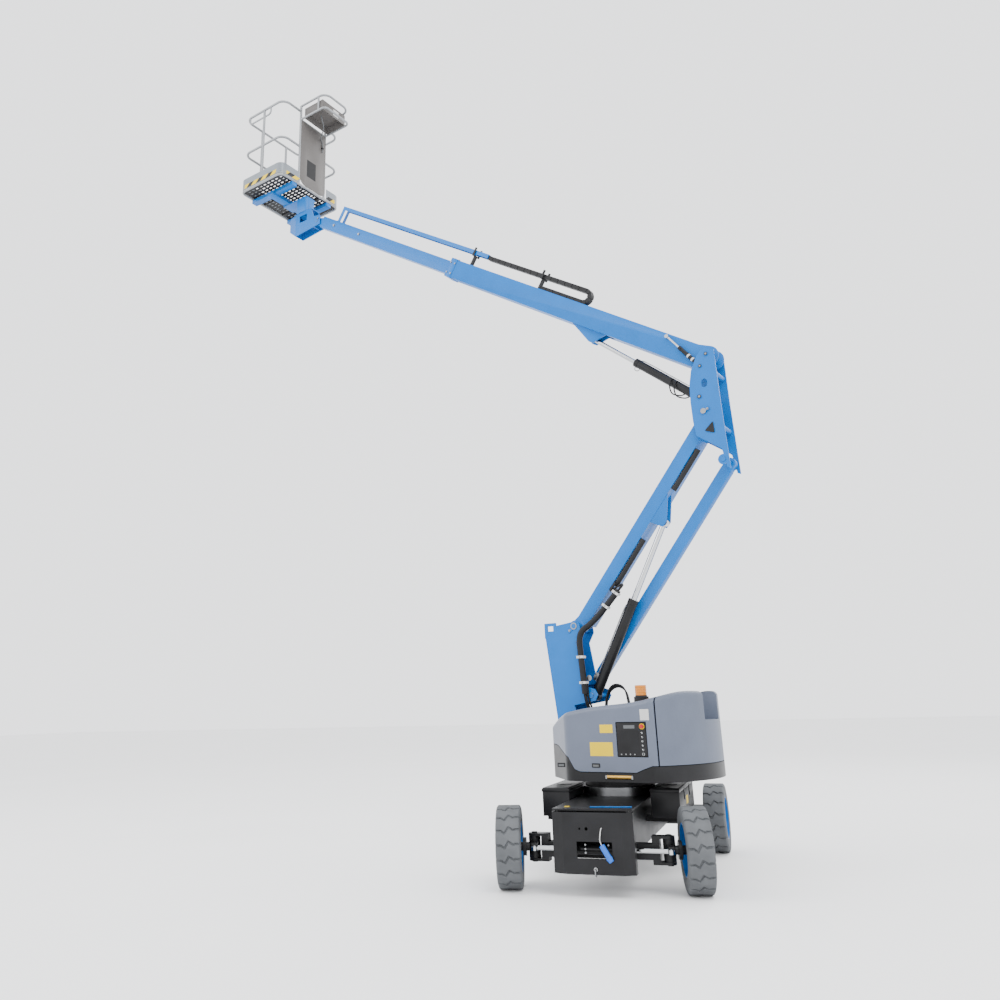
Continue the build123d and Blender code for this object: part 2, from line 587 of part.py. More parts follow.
def riser():
    beam = box_beam(60, ARM_LENGTH - 70, ARM_HALF, -ARM_TOP, ARM_UNDER, ARM_WALL)
    for x in (0, ARM_LENGTH):
        near, far = (x + 110, x) if x == 0 else (x - 120, x)
        for side in (-1, 1):
            ys = sorted((side * ARM_HALF, side * (ARM_HALF - 16)))
            beam += strap(near, 27, 50, far, 0, BOSS_RADIUS, *ys)
        beam += bar_y(x, 0, BOSS_RADIUS, -PLATE_IN + 4, PLATE_IN - 4)
        beam -= bar_y(x, 0, PIN_RADIUS + PIN_CLEAR, -PLATE_IN - 2, PLATE_IN + 2)
    for low in (LIFT_Y - EYE_HALF - EYE_GAP - LUG_PLATE, LIFT_Y + EYE_HALF + EYE_GAP):
        lug = profile([(LIFT_ALONG - 34, LIFT_BELOW + 28), (LIFT_ALONG + 26, LIFT_BELOW + 30),
                       (LIFT_ALONG + 230, ARM_UNDER - 2), (LIFT_ALONG - 60, ARM_UNDER - 2)],
                      low, low + LUG_PLATE)
        beam += lug
    add("riser_arm", beam, ARM)

    pipes = None
    for x0, x1 in CONDUIT_RUNS:
        pipe = bar_x(ARM_HALF - CONDUIT_R, ARM_UNDER + CONDUIT_R + 3, CONDUIT_R, x0, x1)
        for x in (x0 + 8, x1 - 34):
            pipe += block(x, x + 26, ARM_HALF - 2 * CONDUIT_R + 4, ARM_HALF - 4, ARM_UNDER + 0.3,
                          ARM_UNDER + CONDUIT_R)
        pipes = pipe if pipes is None else pipes + pipe
    add("riser_conduits", pipes, ARM)

    low, high = LINK_Y - LINK_WIDTH / 2, LINK_Y + LINK_WIDTH / 2
    link = block(60, ARM_LENGTH - 60, low, high, -LINK_DEPTH / 2, LINK_DEPTH / 2)
    link -= block(140, ARM_LENGTH - 140, low + 6, high - 6, 6 - LINK_DEPTH / 2, LINK_DEPTH / 2 - 6)
    for x in (0, ARM_LENGTH):
        link += strap(x, 0, 46, ARM_LENGTH / 2, 0, 46, low, high) & block(x - 60, x + 60, low, high, -60, 60)
        link -= bar_y(x, 0, PIN_RADIUS + PIN_CLEAR, low - 1, high + 1)
    add("riser_link", link, LINK)


def hydraulic(name, frame, reach, closing, y, barrel_r, rod_r, eye_r, barrel, base_pin, eye_half):
    """A cylinder along +X of its frame: barrel with a base eye, and rod with an eye and no pin."""
    bottom = barrel_r + 10
    body = bar_x(y, 0, barrel_r, barrel_r / 2, barrel) + bar_y(0, 0, barrel_r, y - eye_half, y + eye_half)
    body -= bar_x(y, 0, rod_r + 0.5, bottom, barrel + 1)
    body -= bar_y(0, 0, base_pin + PIN_CLEAR, y - barrel_r - 1, y + barrel_r + 1)
    add(f"{name}_barrel", body, frame)
    rod = bar_x(y, 0, rod_r, bottom + 4 + closing, reach - eye_r + 6) + bar_y(reach, 0, eye_r, y - eye_half, y + eye_half)
    add(f"{name}_rod", rod, frame)


def knuckle():
    edge = [(-70, 24), (0, 55), (45, 45), (87, -3), (144, -116), (169, -236), (178, -400),
            (173, -575), (157, -700), (102, -741), (-20, -830), (-42, -850), (-70, -1010),
            (-96, -1024), (-88, -800), (-76, -400)]
    shape = None
    for side in (-1, 1):
        ys = sorted((side * PLATE_IN, side * (PLATE_IN + PLATE_THICK)))
        cheek = profile(edge, *ys)
        cheek += bar_y(KNUCKLE_DX + LINK_DX, KNUCKLE_DZ + LINK_DZ, 44, *ys)
        for x, z in ((42, -240), (42, -265)):
            cheek -= bar_y(x, z, 26, ys[0] - 1, ys[1] + 1)
        cheek -= block(16, 68, ys[0] - 1, ys[1] + 1, -265, -240)
        shape = cheek if shape is None else shape + cheek
    pins = ((0, 0), (KNUCKLE_DX, KNUCKLE_DZ), (KNUCKLE_DX + LINK_DX, KNUCKLE_DZ + LINK_DZ),
            (UP_BASE_X, UP_BASE_Z))
    for x, z in pins:
        shape += bar_y(x, z, PIN_RADIUS, -PLATE_IN - PLATE_THICK - 6, PLATE_IN + PLATE_THICK + 6)
    for x, z in ((-38, -170), (-44, -650)):
        shape += bar_y(x, z, 24, -PLATE_IN, PLATE_IN)
    shape += bar_y(LEVEL_BASE_X, LEVEL_BASE_Z, 9, LEVEL_Y - LEVEL_R, PLATE_IN + PLATE_THICK + 4)
    add("riser_knuckle", shape, KNUCKLE)


def upper_boom():
    beam = box_beam(60, BOOM_LENGTH, BOOM_HALF, -BOOM_UNDER, BOOM_TOP, BOOM_WALL)
    for side in (-1, 1):
        ys = sorted((side * BOOM_HALF, side * (BOOM_HALF - BOOM_WALL)))
        beam += strap(0, 0, BOOM_TAIL, 140, (BOOM_TOP - BOOM_UNDER) / 2, 95, *ys)
    beam += bar_y(0, 0, BOOM_BOSS, -PLATE_IN + 4, PLATE_IN - 4)
    beam -= bar_y(0, 0, PIN_RADIUS + PIN_CLEAR, -PLATE_IN - 1, PLATE_IN + 1)
    slot = EYE_HALF + EYE_GAP
    beam -= block(UP_ALONG - 230, UP_ALONG + 110, -slot, slot, -BOOM_UNDER - 1, -BOOM_UNDER + BOOM_WALL + 1)
    for side in (-1, 1):
        ys = sorted((side * slot, side * (slot + LUG_PLATE)))
        beam += profile([(UP_ALONG - 150, -BOOM_UNDER), (UP_ALONG - 60, -UP_BELOW - 42),
                         (UP_ALONG - 10, -UP_BELOW - 44), (UP_ALONG + 250, -BOOM_UNDER)], *ys)
    collar = block(BOOM_LENGTH - 90, BOOM_LENGTH, -BOOM_HALF - 6, BOOM_HALF + 6, -BOOM_UNDER - 6, BOOM_TOP + 6)
    collar -= block(BOOM_LENGTH - 91, BOOM_LENGTH + 1, -BOOM_HALF, BOOM_HALF, -BOOM_UNDER, BOOM_TOP)
    beam += collar
    pads = block(BOOM_LENGTH - 70, BOOM_LENGTH - 10, BOOM_WALL - BOOM_HALF, BOOM_HALF - BOOM_WALL,
                 BOOM_WALL - BOOM_UNDER, BOOM_TOP - BOOM_WALL)
    pads -= block(BOOM_LENGTH - 71, BOOM_LENGTH - 9, -INNER_HALF - PAD_GAP, INNER_HALF + PAD_GAP,
                  -INNER_UNDER - PAD_GAP, INNER_TOP + PAD_GAP)
    beam += pads
    beam += bar_y(LEVEL_ALONG, LEVEL_UP, 22, BOOM_HALF - 2, LEVEL_Y - LEVEL_R - 1)
    add("base_boom", beam, BOOM)

    inner = box_beam(INNER_START, INNER_END, INNER_HALF, -INNER_UNDER, INNER_TOP, 5)
    for side in (-1, 1):
        ys = sorted((side * INNER_HALF, side * (INNER_HALF - 14)))
        inner += strap(INNER_END - 60, -36, 60, LEVEL_PIVOT, -LEVEL_PIVOT_DROP, 46, *ys)
    inner -= bar_y(LEVEL_PIVOT, -LEVEL_PIVOT_DROP, PIN_RADIUS + PIN_CLEAR, -INNER_HALF - 1, INNER_HALF + 1)
    pads = block(INNER_START, INNER_START + 60, BOOM_WALL - BOOM_HALF + PAD_GAP, BOOM_HALF - BOOM_WALL - PAD_GAP,
                 BOOM_WALL - BOOM_UNDER + PAD_GAP, BOOM_TOP - BOOM_WALL - PAD_GAP)
    pads -= block(INNER_START - 1, INNER_START + 61, -INNER_HALF, INNER_HALF, -INNER_UNDER, INNER_TOP)
    pads -= block(INNER_START - 1, INNER_START + 61, -40, 40, -BOOM_UNDER, -INNER_UNDER)
    inner += pads
    add("extension_boom", inner, BOOM)

    half = CHAIN_WIDTH / 2
    chain_r = (CHAIN_HIGH - CHAIN_LOW) / 2
    mid = (CHAIN_HIGH + CHAIN_LOW) / 2
    outer_r = chain_r + CHAIN_DEPTH / 2
    inner_r = chain_r - CHAIN_DEPTH / 2
    chain = block(CHAIN_END, CHAIN_FREE, -half, half, CHAIN_HIGH - CHAIN_DEPTH / 2, CHAIN_HIGH + CHAIN_DEPTH / 2)
    chain += block(CHAIN_END, CHAIN_FIXED, -half, half, BOOM_TOP, CHAIN_LOW + CHAIN_DEPTH / 2)
    bend = bar_y(CHAIN_END, mid, outer_r, -half, half) - bar_y(CHAIN_END, mid, inner_r, -half - 1, half + 1)
    chain += bend & block(CHAIN_END - 200, CHAIN_END, -half, half, BOOM_TOP, 400)
    notch = Box(LINK_NOTCH, CHAIN_WIDTH + 2, CHAIN_DEPTH + 2) - Box(LINK_NOTCH + 2, CHAIN_WIDTH - 8, CHAIN_DEPTH - 8)
    cuts = []
    for n in range(1, round((CHAIN_FREE - CHAIN_END) / CHAIN_PITCH)):
        cuts.append(Pos(CHAIN_END + n * CHAIN_PITCH, 0, CHAIN_HIGH) * notch)
    for n in range(1, round((CHAIN_FIXED - CHAIN_END) / CHAIN_PITCH)):
        cuts.append(Pos(CHAIN_END + n * CHAIN_PITCH, 0, CHAIN_LOW) * notch)
    for n in range(CHAIN_TURN + 1):
        swing = Rot(0, -n * 180 / CHAIN_TURN, 0)
        cuts.append(Pos(CHAIN_END, 0, mid) * swing * Pos(0, 0, chain_r) * notch)
    chain -= cuts
    add("energy_chain", chain, BOOM)

    side_in = half + TRAY_CLEAR
    tray_top = CHAIN_HIGH + CHAIN_DEPTH / 2 + TRAY_CLEAR
    tray_low = CHAIN_HIGH - 12
    tray = block(TRAY_START, TRAY_END, -side_in - TRAY_SHEET, side_in + TRAY_SHEET, tray_low, tray_top + TRAY_SHEET)
    tray -= block(TRAY_START - 1, TRAY_END + 1, -side_in, side_in, tray_low - 1, tray_top)
    for side in (-1, 1):
        ys = sorted((side * side_in, side * (side_in + TRAY_SHEET)))
        tray += block(TRAY_END - 50, TRAY_END, *ys, INNER_TOP, tray_low + 1)
        foot = sorted((side * side_in, side * INNER_HALF))
        tray += block(TRAY_END - 50, TRAY_END, *foot, INNER_TOP, INNER_TOP + 4)
    add("hose_tray", tray, BOOM)

    stands = None
    reach = side_in + TRAY_SHEET + 6
    for x in (STAND_A, STAND_B):
        stand = block(x - 12, x + 12, -18, 18, BOOM_TOP, CHAIN_HIGH - CHAIN_DEPTH / 2 - 14)
        stand += block(x - 12, x + 12, -reach - 8, reach + 8, CHAIN_HIGH - CHAIN_DEPTH / 2 - 14,
                       CHAIN_HIGH - CHAIN_DEPTH / 2)
        for side in (-1, 1):
            ys = sorted((side * reach, side * (reach + 8)))
            stand += block(x - 12, x + 12, *ys, CHAIN_HIGH - CHAIN_DEPTH / 2 - 2, tray_top + 30)
        stands = stand if stands is None else stands + stand
    add("tray_stands", stands, BOOM)


def platform():
    top = FLOOR_TOP
    low = top - FLOOR_THICK
    far = PLATFORM_NEAR - PLATFORM_WIDTH
    out = FLOOR_IN + PLATFORM_DEPTH
    mid_x = (FLOOR_IN + out) / 2
    cheek_low, cheek_high = NOSE_Z - 92, NOSE_Z + 220
    wide = INNER_HALF + 18
    front = ROTATOR_X + HEAD_REACH
    head = block(NOSE_X + 95, front, -wide, wide, cheek_high - 12, cheek_high)
    for side in (-1, 1):
        ys = sorted((side * (INNER_HALF + 6), side * wide))
        head += profile([(NOSE_X - 52, NOSE_Z - 56), (NOSE_X + 60, NOSE_Z - 62), (front, cheek_low),
                         (front, cheek_high), (NOSE_X + 105, cheek_high), (NOSE_X + 60, NOSE_Z + 90),
                         (NOSE_X - 52, NOSE_Z + 60)], *ys)
    head -= block(ROTATOR_X - 100, ROTATOR_X + 30, -wide - 1, wide + 1, NOSE_Z + 78, NOSE_Z + 170)
    head += block(NOSE_X + 70, NOSE_X + 82, -wide, wide, NOSE_Z - 50, NOSE_Z + 90)
    bow = plan([(front - 1, -wide), (front + BOW_LENGTH, -30), (front + BOW_LENGTH, 30), (front - 1, wide)],
               cheek_low, cheek_high)
    bow &= profile([(front - 2, cheek_low), (front + BOW_LENGTH, cheek_low + 122), (front + BOW_LENGTH, cheek_high),
                    (front - 2, cheek_high)], -wide, wide)
    head += bow
    head += bar_z(ROTATOR_X, 0, SHAFT_RADIUS + 20, cheek_high - 50, cheek_high)
    head += bar_z(ROTATOR_X, 0, SHAFT_RADIUS, cheek_high - 1, cheek_high + 80)
    head += bar_y(NOSE_X, NOSE_Z, PIN_RADIUS, -wide - 6, wide + 6)
    add("level_bracket", head, TURN)

    beam_low = low - 75
    support = block(ROTATOR_X - 95, ROTATOR_X + 95, -80, 80, cheek_high + RING_GAP, beam_low)
    support = chamfer(support.edges().filter_by(Axis.Z), 24)
    support -= bar_z(ROTATOR_X, 0, SHAFT_RADIUS + PIN_CLEAR, cheek_high, cheek_high + 85)
    support += block(ROTATOR_X - 90, mid_x + 60, -85, 85, beam_low - 14, beam_low)
    support += block(mid_x - 50, mid_x + 50, -370, 370, beam_low, low - 20)
    for y in (-310, 310):
        support += block(FLOOR_IN + 12, out - 12, y - 40, y + 40, low - 50, low - 0.3)
    add("platform_support", support, TURN)

    edge = RectangleRounded(PLATFORM_DEPTH - 2 * FLOOR_TUBE, PLATFORM_WIDTH - 2 * FLOOR_TUBE, 90 - FLOOR_TUBE)
    rim = edge.wire()
    floor = sweep(Plane(rim @ 0, z_dir=rim % 0) * Circle(FLOOR_TUBE), path=rim)
    floor = Pos(mid_x, (PLATFORM_NEAR + far) / 2, low + FLOOR_TUBE) * floor
    for y in (-160, 160):
        floor += bar_x(y, low + FLOOR_TUBE, FLOOR_TUBE - 3, FLOOR_IN + FLOOR_TUBE, out - FLOOR_TUBE)
    middle_y = (PLATFORM_NEAR + far) / 2
    pan = RectangleRounded(PLATFORM_DEPTH - 2 * PAN_INSET, PLATFORM_WIDTH - 2 * PAN_INSET, 50)
    plate = Pos(mid_x, middle_y, top - 9) * extrude(edge, amount=4)
    plate += Pos(mid_x, middle_y, top - 6) * extrude(pan, amount=6)
    slots = []
    for ix in range(FLOOR_SLOTS[0]):
        for iy in range(FLOOR_SLOTS[1]):
            x = FLOOR_IN + 60 + (ix + 0.5) * (PLATFORM_DEPTH - 120) / FLOOR_SLOTS[0]
            y = far + 60 + (iy + 0.5) * (PLATFORM_WIDTH - 120) / FLOOR_SLOTS[1]
            slots.append(Pos(x, y, top) * Box(46, 26, 30))
    floor += plate - slots
    add("platform_floor", floor, TURN)

    toe = block(FLOOR_IN + 2, out - 2, far + 2, PLATFORM_NEAR - 2, top - 2.7, top + TOE_HEIGHT)
    toe = fillet(toe.edges().filter_by(Axis.Z), 88)
    hollow = block(FLOOR_IN + 2 + TOE_SHEET, out - 2 - TOE_SHEET, far + 2 + TOE_SHEET,
                   PLATFORM_NEAR - 2 - TOE_SHEET, top - 4, top + TOE_HEIGHT + 1)
    toe -= fillet(hollow.edges().filter_by(Axis.Z), 88 - TOE_SHEET)
    toe -= block(FLOOR_IN - 5, FLOOR_IN + 60, -PANEL_HALF - 24, PANEL_HALF + 24, top - 5, top + TOE_HEIGHT + 2)
    add("toe_boards", toe, TURN)

    platform_rails(top, far, out)

    line = FLOOR_IN + RAIL_INSET
    thin = (line - RAIL_R - 4, line - RAIL_R)
    face = block(*thin, -PANEL_HALF, PANEL_HALF, top + 0.3, top + MID_HEIGHT - 6)
    face = fillet(face.edges().filter_by(Axis.X).group_by(Axis.Z)[0], 95)
    face -= block(line - 40, line, -50, 110, top + 160, top + 410)
    face += block(*thin, -PANEL_HALF, PANEL_HALF, top + MID_HEIGHT + 8, top + BOX_LOW - 20)
    face += block(*thin, -PANEL_HALF, PANEL_HALF, top + MID_HEIGHT - 7, top + MID_HEIGHT + 9)
    add("rear_panel", face, TURN)

    box_low = top + BOX_LOW
    half = PANEL_HALF - RAIL_R + 1.9
    box = block(FLOOR_IN - BOX_REACH + 62, FLOOR_IN - 30, -half, half, box_low, box_low + BOX_DEPTH)
    box -= block(FLOOR_IN - BOX_REACH + 66, FLOOR_IN - 34, 4 - half, half - 4, box_low - 1, box_low + BOX_DEPTH - 50)
    add("platform_controls", box, TURN)


def rail_hoop(z, far, out, radius):
    """A rail round the platform at a height, open between the rear posts."""
    line = FLOOR_IN + RAIL_INSET
    near = PLATFORM_NEAR - RAIL_INSET
    route = [(line, -PANEL_HALF, z), (line, far + RAIL_INSET, z), (out - RAIL_INSET, far + RAIL_INSET, z),
             (out - RAIL_INSET, near, z), (line, near, z), (line, PANEL_HALF, z)]
    return tube(route, radius, RAIL_BEND)


def uprights(top, far, out, radius):
    """The posts round the platform; the two rear ones carry the control box."""
    line = FLOOR_IN + RAIL_INSET
    mid_x = (FLOOR_IN + out) / 2
    posts = None
    places = [(mid_x, PLATFORM_NEAR - RAIL_INSET, RAIL_HEIGHT - RAIL_R), (mid_x, far + RAIL_INSET, RAIL_HEIGHT - RAIL_R)]
    places += [(out - RAIL_INSET, y, RAIL_HEIGHT - RAIL_R) for y in OUTER_POSTS]
    places += [(line, y, BOX_HIGH) for y in (-PANEL_HALF, PANEL_HALF)]
    for x, y, height in places:
        post = bar_z(x, y, radius, top + 0.3, top + height)
        posts = post if posts is None else posts + post
    return posts


def platform_rails(top, far, out):
    rail = RAIL_R
    line = FLOOR_IN + RAIL_INSET
    near = PLATFORM_NEAR - RAIL_INSET
    high = top + RAIL_HEIGHT - rail
    room = uprights(top - 1, far, out, rail + WELD_GAP)
    grab = tube([(FLOOR_IN + 260, near, high), (FLOOR_IN + 260, near, high - 105), (out - 110, near, high - 105),
                 (out - 110, near, high)], rail - 5, 45)
    rear = [bar_z(line, y, rail + WELD_GAP, top, top + RAIL_HEIGHT) for y in (-PANEL_HALF, PANEL_HALF)]
    add("guard_rail_top", rail_hoop(high, far, out, rail - 1) - rear + (grab - room), TURN)
    add("guard_rail_middle", rail_hoop(top + MID_HEIGHT, far, out, rail - 1) - room, TURN)

    posts = uprights(top, far, out, rail) - rail_hoop(high, far, out, rail - 1 + WELD_GAP)
    for z in (BOX_LOW, MID_HEIGHT):
        posts += bar_y(line, top + z, rail - 4, -PANEL_HALF, PANEL_HALF)
    add("guard_posts", posts, TURN)

    front = FLOOR_IN - BOX_REACH
    guard = None
    for z, bend in ((top + BOX_LOW, 60), (top + BOX_HIGH, 110)):
        route = [(line, -PANEL_HALF, z), (front, -PANEL_HALF, z), (front, PANEL_HALF, z), (line, PANEL_HALF, z)]
        loop = tube(route, rail - 2, bend)
        guard = loop if guard is None else guard + loop
    for y in (-PANEL_HALF, PANEL_HALF):
        guard += bar_z(front + 120, y, rail - 3, top + BOX_LOW, top + BOX_HIGH)
    guard -= [bar_z(line, y, rail + WELD_GAP, top, top + BOX_HIGH + 20) for y in (-PANEL_HALF, PANEL_HALF)]
    guard -= bar_y(line, top + BOX_LOW, rail - 4 + WELD_GAP, -PANEL_HALF, PANEL_HALF)
    add("control_guard", guard, TURN)


def build():
    wheels_and_knuckles()
    chassis()
    turntable()
    riser()
    hydraulic("lift", LIFT, LIFT_LENGTH, LIFT_CLOSING, LIFT_Y, LIFT_BARREL_R, LIFT_ROD_R, LIFT_EYE_R, LIFT_BARREL,
              PIN_RADIUS, EYE_HALF)
    knuckle()
    hydraulic("upper_lift", UPLIFT, UP_REACH, UP_CLOSING, 0, UP_BARREL_R, UP_ROD_R, UP_EYE_R, UP_BARREL,
              PIN_RADIUS, EYE_HALF)
    hydraulic("levelling", LEVEL, LEVEL_REACH, LEVEL_CLOSING, LEVEL_Y, LEVEL_R, LEVEL_ROD_R, LEVEL_R, LEVEL_BARREL,
              9, LEVEL_R - 1)
    upper_boom()
    platform()
    os.makedirs("parts", exist_ok=True)
    for name, shape in PARTS.items():
        export_step(shape, f"parts/{name}.step")
        print(name, len(shape.solids()), round(shape.volume / 1e6, 2), "litres")


build()
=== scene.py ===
import json
import math
import bmesh
import bpy
from mathutils import Matrix, Vector


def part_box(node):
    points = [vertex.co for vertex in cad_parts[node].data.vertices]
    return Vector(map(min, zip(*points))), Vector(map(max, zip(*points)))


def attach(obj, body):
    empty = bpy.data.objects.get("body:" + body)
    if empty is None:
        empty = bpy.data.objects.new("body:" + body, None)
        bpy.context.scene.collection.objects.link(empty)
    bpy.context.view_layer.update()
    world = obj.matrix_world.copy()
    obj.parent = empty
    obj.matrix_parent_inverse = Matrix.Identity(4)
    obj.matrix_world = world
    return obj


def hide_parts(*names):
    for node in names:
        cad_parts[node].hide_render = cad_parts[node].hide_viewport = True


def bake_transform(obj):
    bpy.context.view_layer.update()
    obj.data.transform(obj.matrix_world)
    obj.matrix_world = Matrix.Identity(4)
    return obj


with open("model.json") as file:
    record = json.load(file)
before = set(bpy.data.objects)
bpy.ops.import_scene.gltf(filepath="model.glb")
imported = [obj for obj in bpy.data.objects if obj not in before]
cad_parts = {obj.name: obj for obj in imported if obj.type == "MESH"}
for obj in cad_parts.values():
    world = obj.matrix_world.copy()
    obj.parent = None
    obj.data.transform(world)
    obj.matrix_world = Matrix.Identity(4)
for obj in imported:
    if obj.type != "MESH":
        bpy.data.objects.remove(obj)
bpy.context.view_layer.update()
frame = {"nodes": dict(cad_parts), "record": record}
nodes = frame["nodes"]
joints = {j["name"]: j for j in frame["record"]["behaviour"]["joints"]}

# Camera, fitted to the photograph: place in metres, angles in radians, sensor in millimetres,
# and its focal length and centre in pixels of the square picture
EYE = Vector((1.378174, -7.628998, 1.245321))
YAW, PITCH, ROLL = -0.344424, 0.300305, -0.024382
PICTURE = 1000
FOCAL = 870.631
CENTRE = (455.338, 439.008)
SENSOR = 36

# Sizes shared with the solids, in metres
TYRE_RADIUS = 0.279
TYRE_HALF = 0.090
TYRE_BORE = 0.1735
LUG_COUNT = 18
WHEELS = {"front_right": 1, "front_left": -1, "rear_right": 1, "rear_left": -1}
HUB_FACE, HUB_NUTS = 0.050, 0.052
DISC_FACE, DISC_NUTS = 0.032, 0.077
MAST_HALF = 0.130
ARM_HALF = 0.088
BOOM_HALF = 0.072
EXTENSION_HALF = 0.052
NOSE_HALF = 0.070
COWL_HALF = 0.600
PANEL_FACE = 0.596
BEACON_BASE = 1.302
BEACON_LENS = 0.0452
REAR_HUB = 0.560
REAR_AXLE = (0.950, 0.279)
FLOOR_TOP = 7.690
TOE_CORNER = 0.088
WINDOW = ((-0.052, 0.158), (0.112, 0.412))

# Pins, as (forward, up): the first three in the turntable's frame, the others from the boom's pivot
ARM_PIN = (0.266, 1.905)
LINK_PIN = (0.149, 1.466)
LIFT_PIN = (0.142, 1.326)
KNUCKLE_ARM_PIN = (0.074, -0.499)
PLAIN_PINS = ((0, 0, 0.015), (0.062, -0.096, 0.014), (0.095, -0.365, 0.017))
# Outline of a dark sheet on the knuckle plates, painted shade standing for an opening, as (forward, up)
# from the boom's pivot
OPENING_SHADE_OUTLINE = [(0.004, -0.601), (-0.001, -0.704), (0.084, -0.672)]

# Tread: the groove's depth and half widths, its sloping edge, its shift from side to side as a
# share of the pitch, and the steps of the mesh in a pitch and across the tread
GROOVE_DEPTH = 0.011
GROOVE_HALF = 0.0048
SHOULDER_HALF = 0.0058
GROOVE_EDGE = 0.0022
GROOVE_STAGGER = -0.05
PITCH_STEPS = 28
TREAD_STEPS = 44

# The striped band round the toe boards, with half its gap at the rear panel
STRIPES = 40
STRIPE_HEIGHT = 0.055
STRIPE_RISE = 0.008
STRIPE_OUT = 0.0006
STRIPE_START = 0.027
PANEL_GAP = 0.290

# Edges: angles in degrees past which one stays sharp or is rounded, and the rounding of nodes
NODE_SHARP, PIECE_SHARP, TYRE_SHARP = 32, 35, 38
NODE_BEND = 40
SOFT_WIDTH = 0.0018
LABEL_THICKNESS = 0.0007

# The floor plate's pale rim
RIM_COLOUR = (0.27, 0.28, 0.29)
RIM_WIDTH = 0.036


def make_camera():
    """The camera of the photograph, from its fitted place, turn and lens."""
    heading = Vector((math.sin(YAW), math.cos(YAW), 0))
    right = Vector((math.cos(YAW), -math.sin(YAW), 0))
    up = Vector((0, 0, 1))
    ahead = math.cos(PITCH) * heading + math.sin(PITCH) * up
    above = -math.sin(PITCH) * heading + math.cos(PITCH) * up
    across = math.cos(ROLL) * right + math.sin(ROLL) * above
    upward = -math.sin(ROLL) * right + math.cos(ROLL) * above
    data = bpy.data.cameras.new("camera")
    data.sensor_width = SENSOR
    data.lens = FOCAL / PICTURE * SENSOR
    data.shift_x = (PICTURE / 2 - CENTRE[0]) / PICTURE
    data.shift_y = (CENTRE[1] - PICTURE / 2) / PICTURE
    data.clip_end = 200
    cam = bpy.data.objects.new("camera", data)
    turn = Matrix((across, upward, -ahead)).transposed().to_4x4()
    cam.matrix_world = Matrix.Translation(EYE) @ turn
    bpy.context.collection.objects.link(cam)
    bpy.context.scene.camera = cam


make_camera()

# Frames of the moving groups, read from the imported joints
ALONG = Vector(joints["cowl_near_hinge"]["axis"])
ACROSS = Vector(joints["lower_arm_lift"]["axis"])


def joint_place(name):
    return Vector(joints[name]["pos_m"])


def frame_at(origin, direction):
    """A frame with X in the direction and Y across the booms, towards the controls."""
    x = Vector(direction).normalized()
    y = ACROSS.normalized()
    z = x.cross(y)
    turn = Matrix((x, y, z)).transposed().to_4x4()
    return Matrix.Translation(origin) @ turn


def frame_of_slide(name):
    """The frame at a sliding joint, with X along its travel."""
    return frame_at(joint_place(name), joints[name]["axis"])


WORLD = Matrix.Identity(4)
TURN = frame_at(Vector((0, 0, 0)), ALONG)
ARM = frame_at(joint_place("lower_arm_lift"),
               joint_place("riser_knuckle_level") - joint_place("lower_arm_lift"))
KNUCKLE = frame_at(joint_place("upper_boom_lift"), ALONG)
BOOM = frame_at(joint_place("upper_boom_lift"), joints["boom_extension"]["axis"])
NOSE = frame_at(joint_place("platform_level"), ALONG)
LIFT = frame_of_slide("lift_cylinder_stroke")
UPPER_LIFT = frame_of_slide("upper_cylinder_stroke")
LEVELLING = frame_of_slide("levelling_cylinder_stroke")


def local_box(name, place):
    """The lowest and highest corners of a node in a frame."""
    back = place.inverted()
    spots = [back @ v.co for v in nodes[name].data.vertices]
    low = Vector([min(p[k] for p in spots) for k in range(3)])
    high = Vector([max(p[k] for p in spots) for k in range(3)])
    return low, high


def circle(count, radius, start=0.0):
    """Evenly spaced points of a circle, the first of them start steps round."""
    turns = [2 * math.pi * (n + start) / count for n in range(count)]
    return [(radius * math.cos(turn), radius * math.sin(turn)) for turn in turns]


# Materials
SHINE = 0.22
COAT_ROUGHNESS = 0.12
DULLER, GLOSSIER = 0.08, 0.06
LEAST_ROUGHNESS = 0.03
DARK_END, LIGHT_END = 0.30, 0.72
BUMP_HEIGHT = 0.002


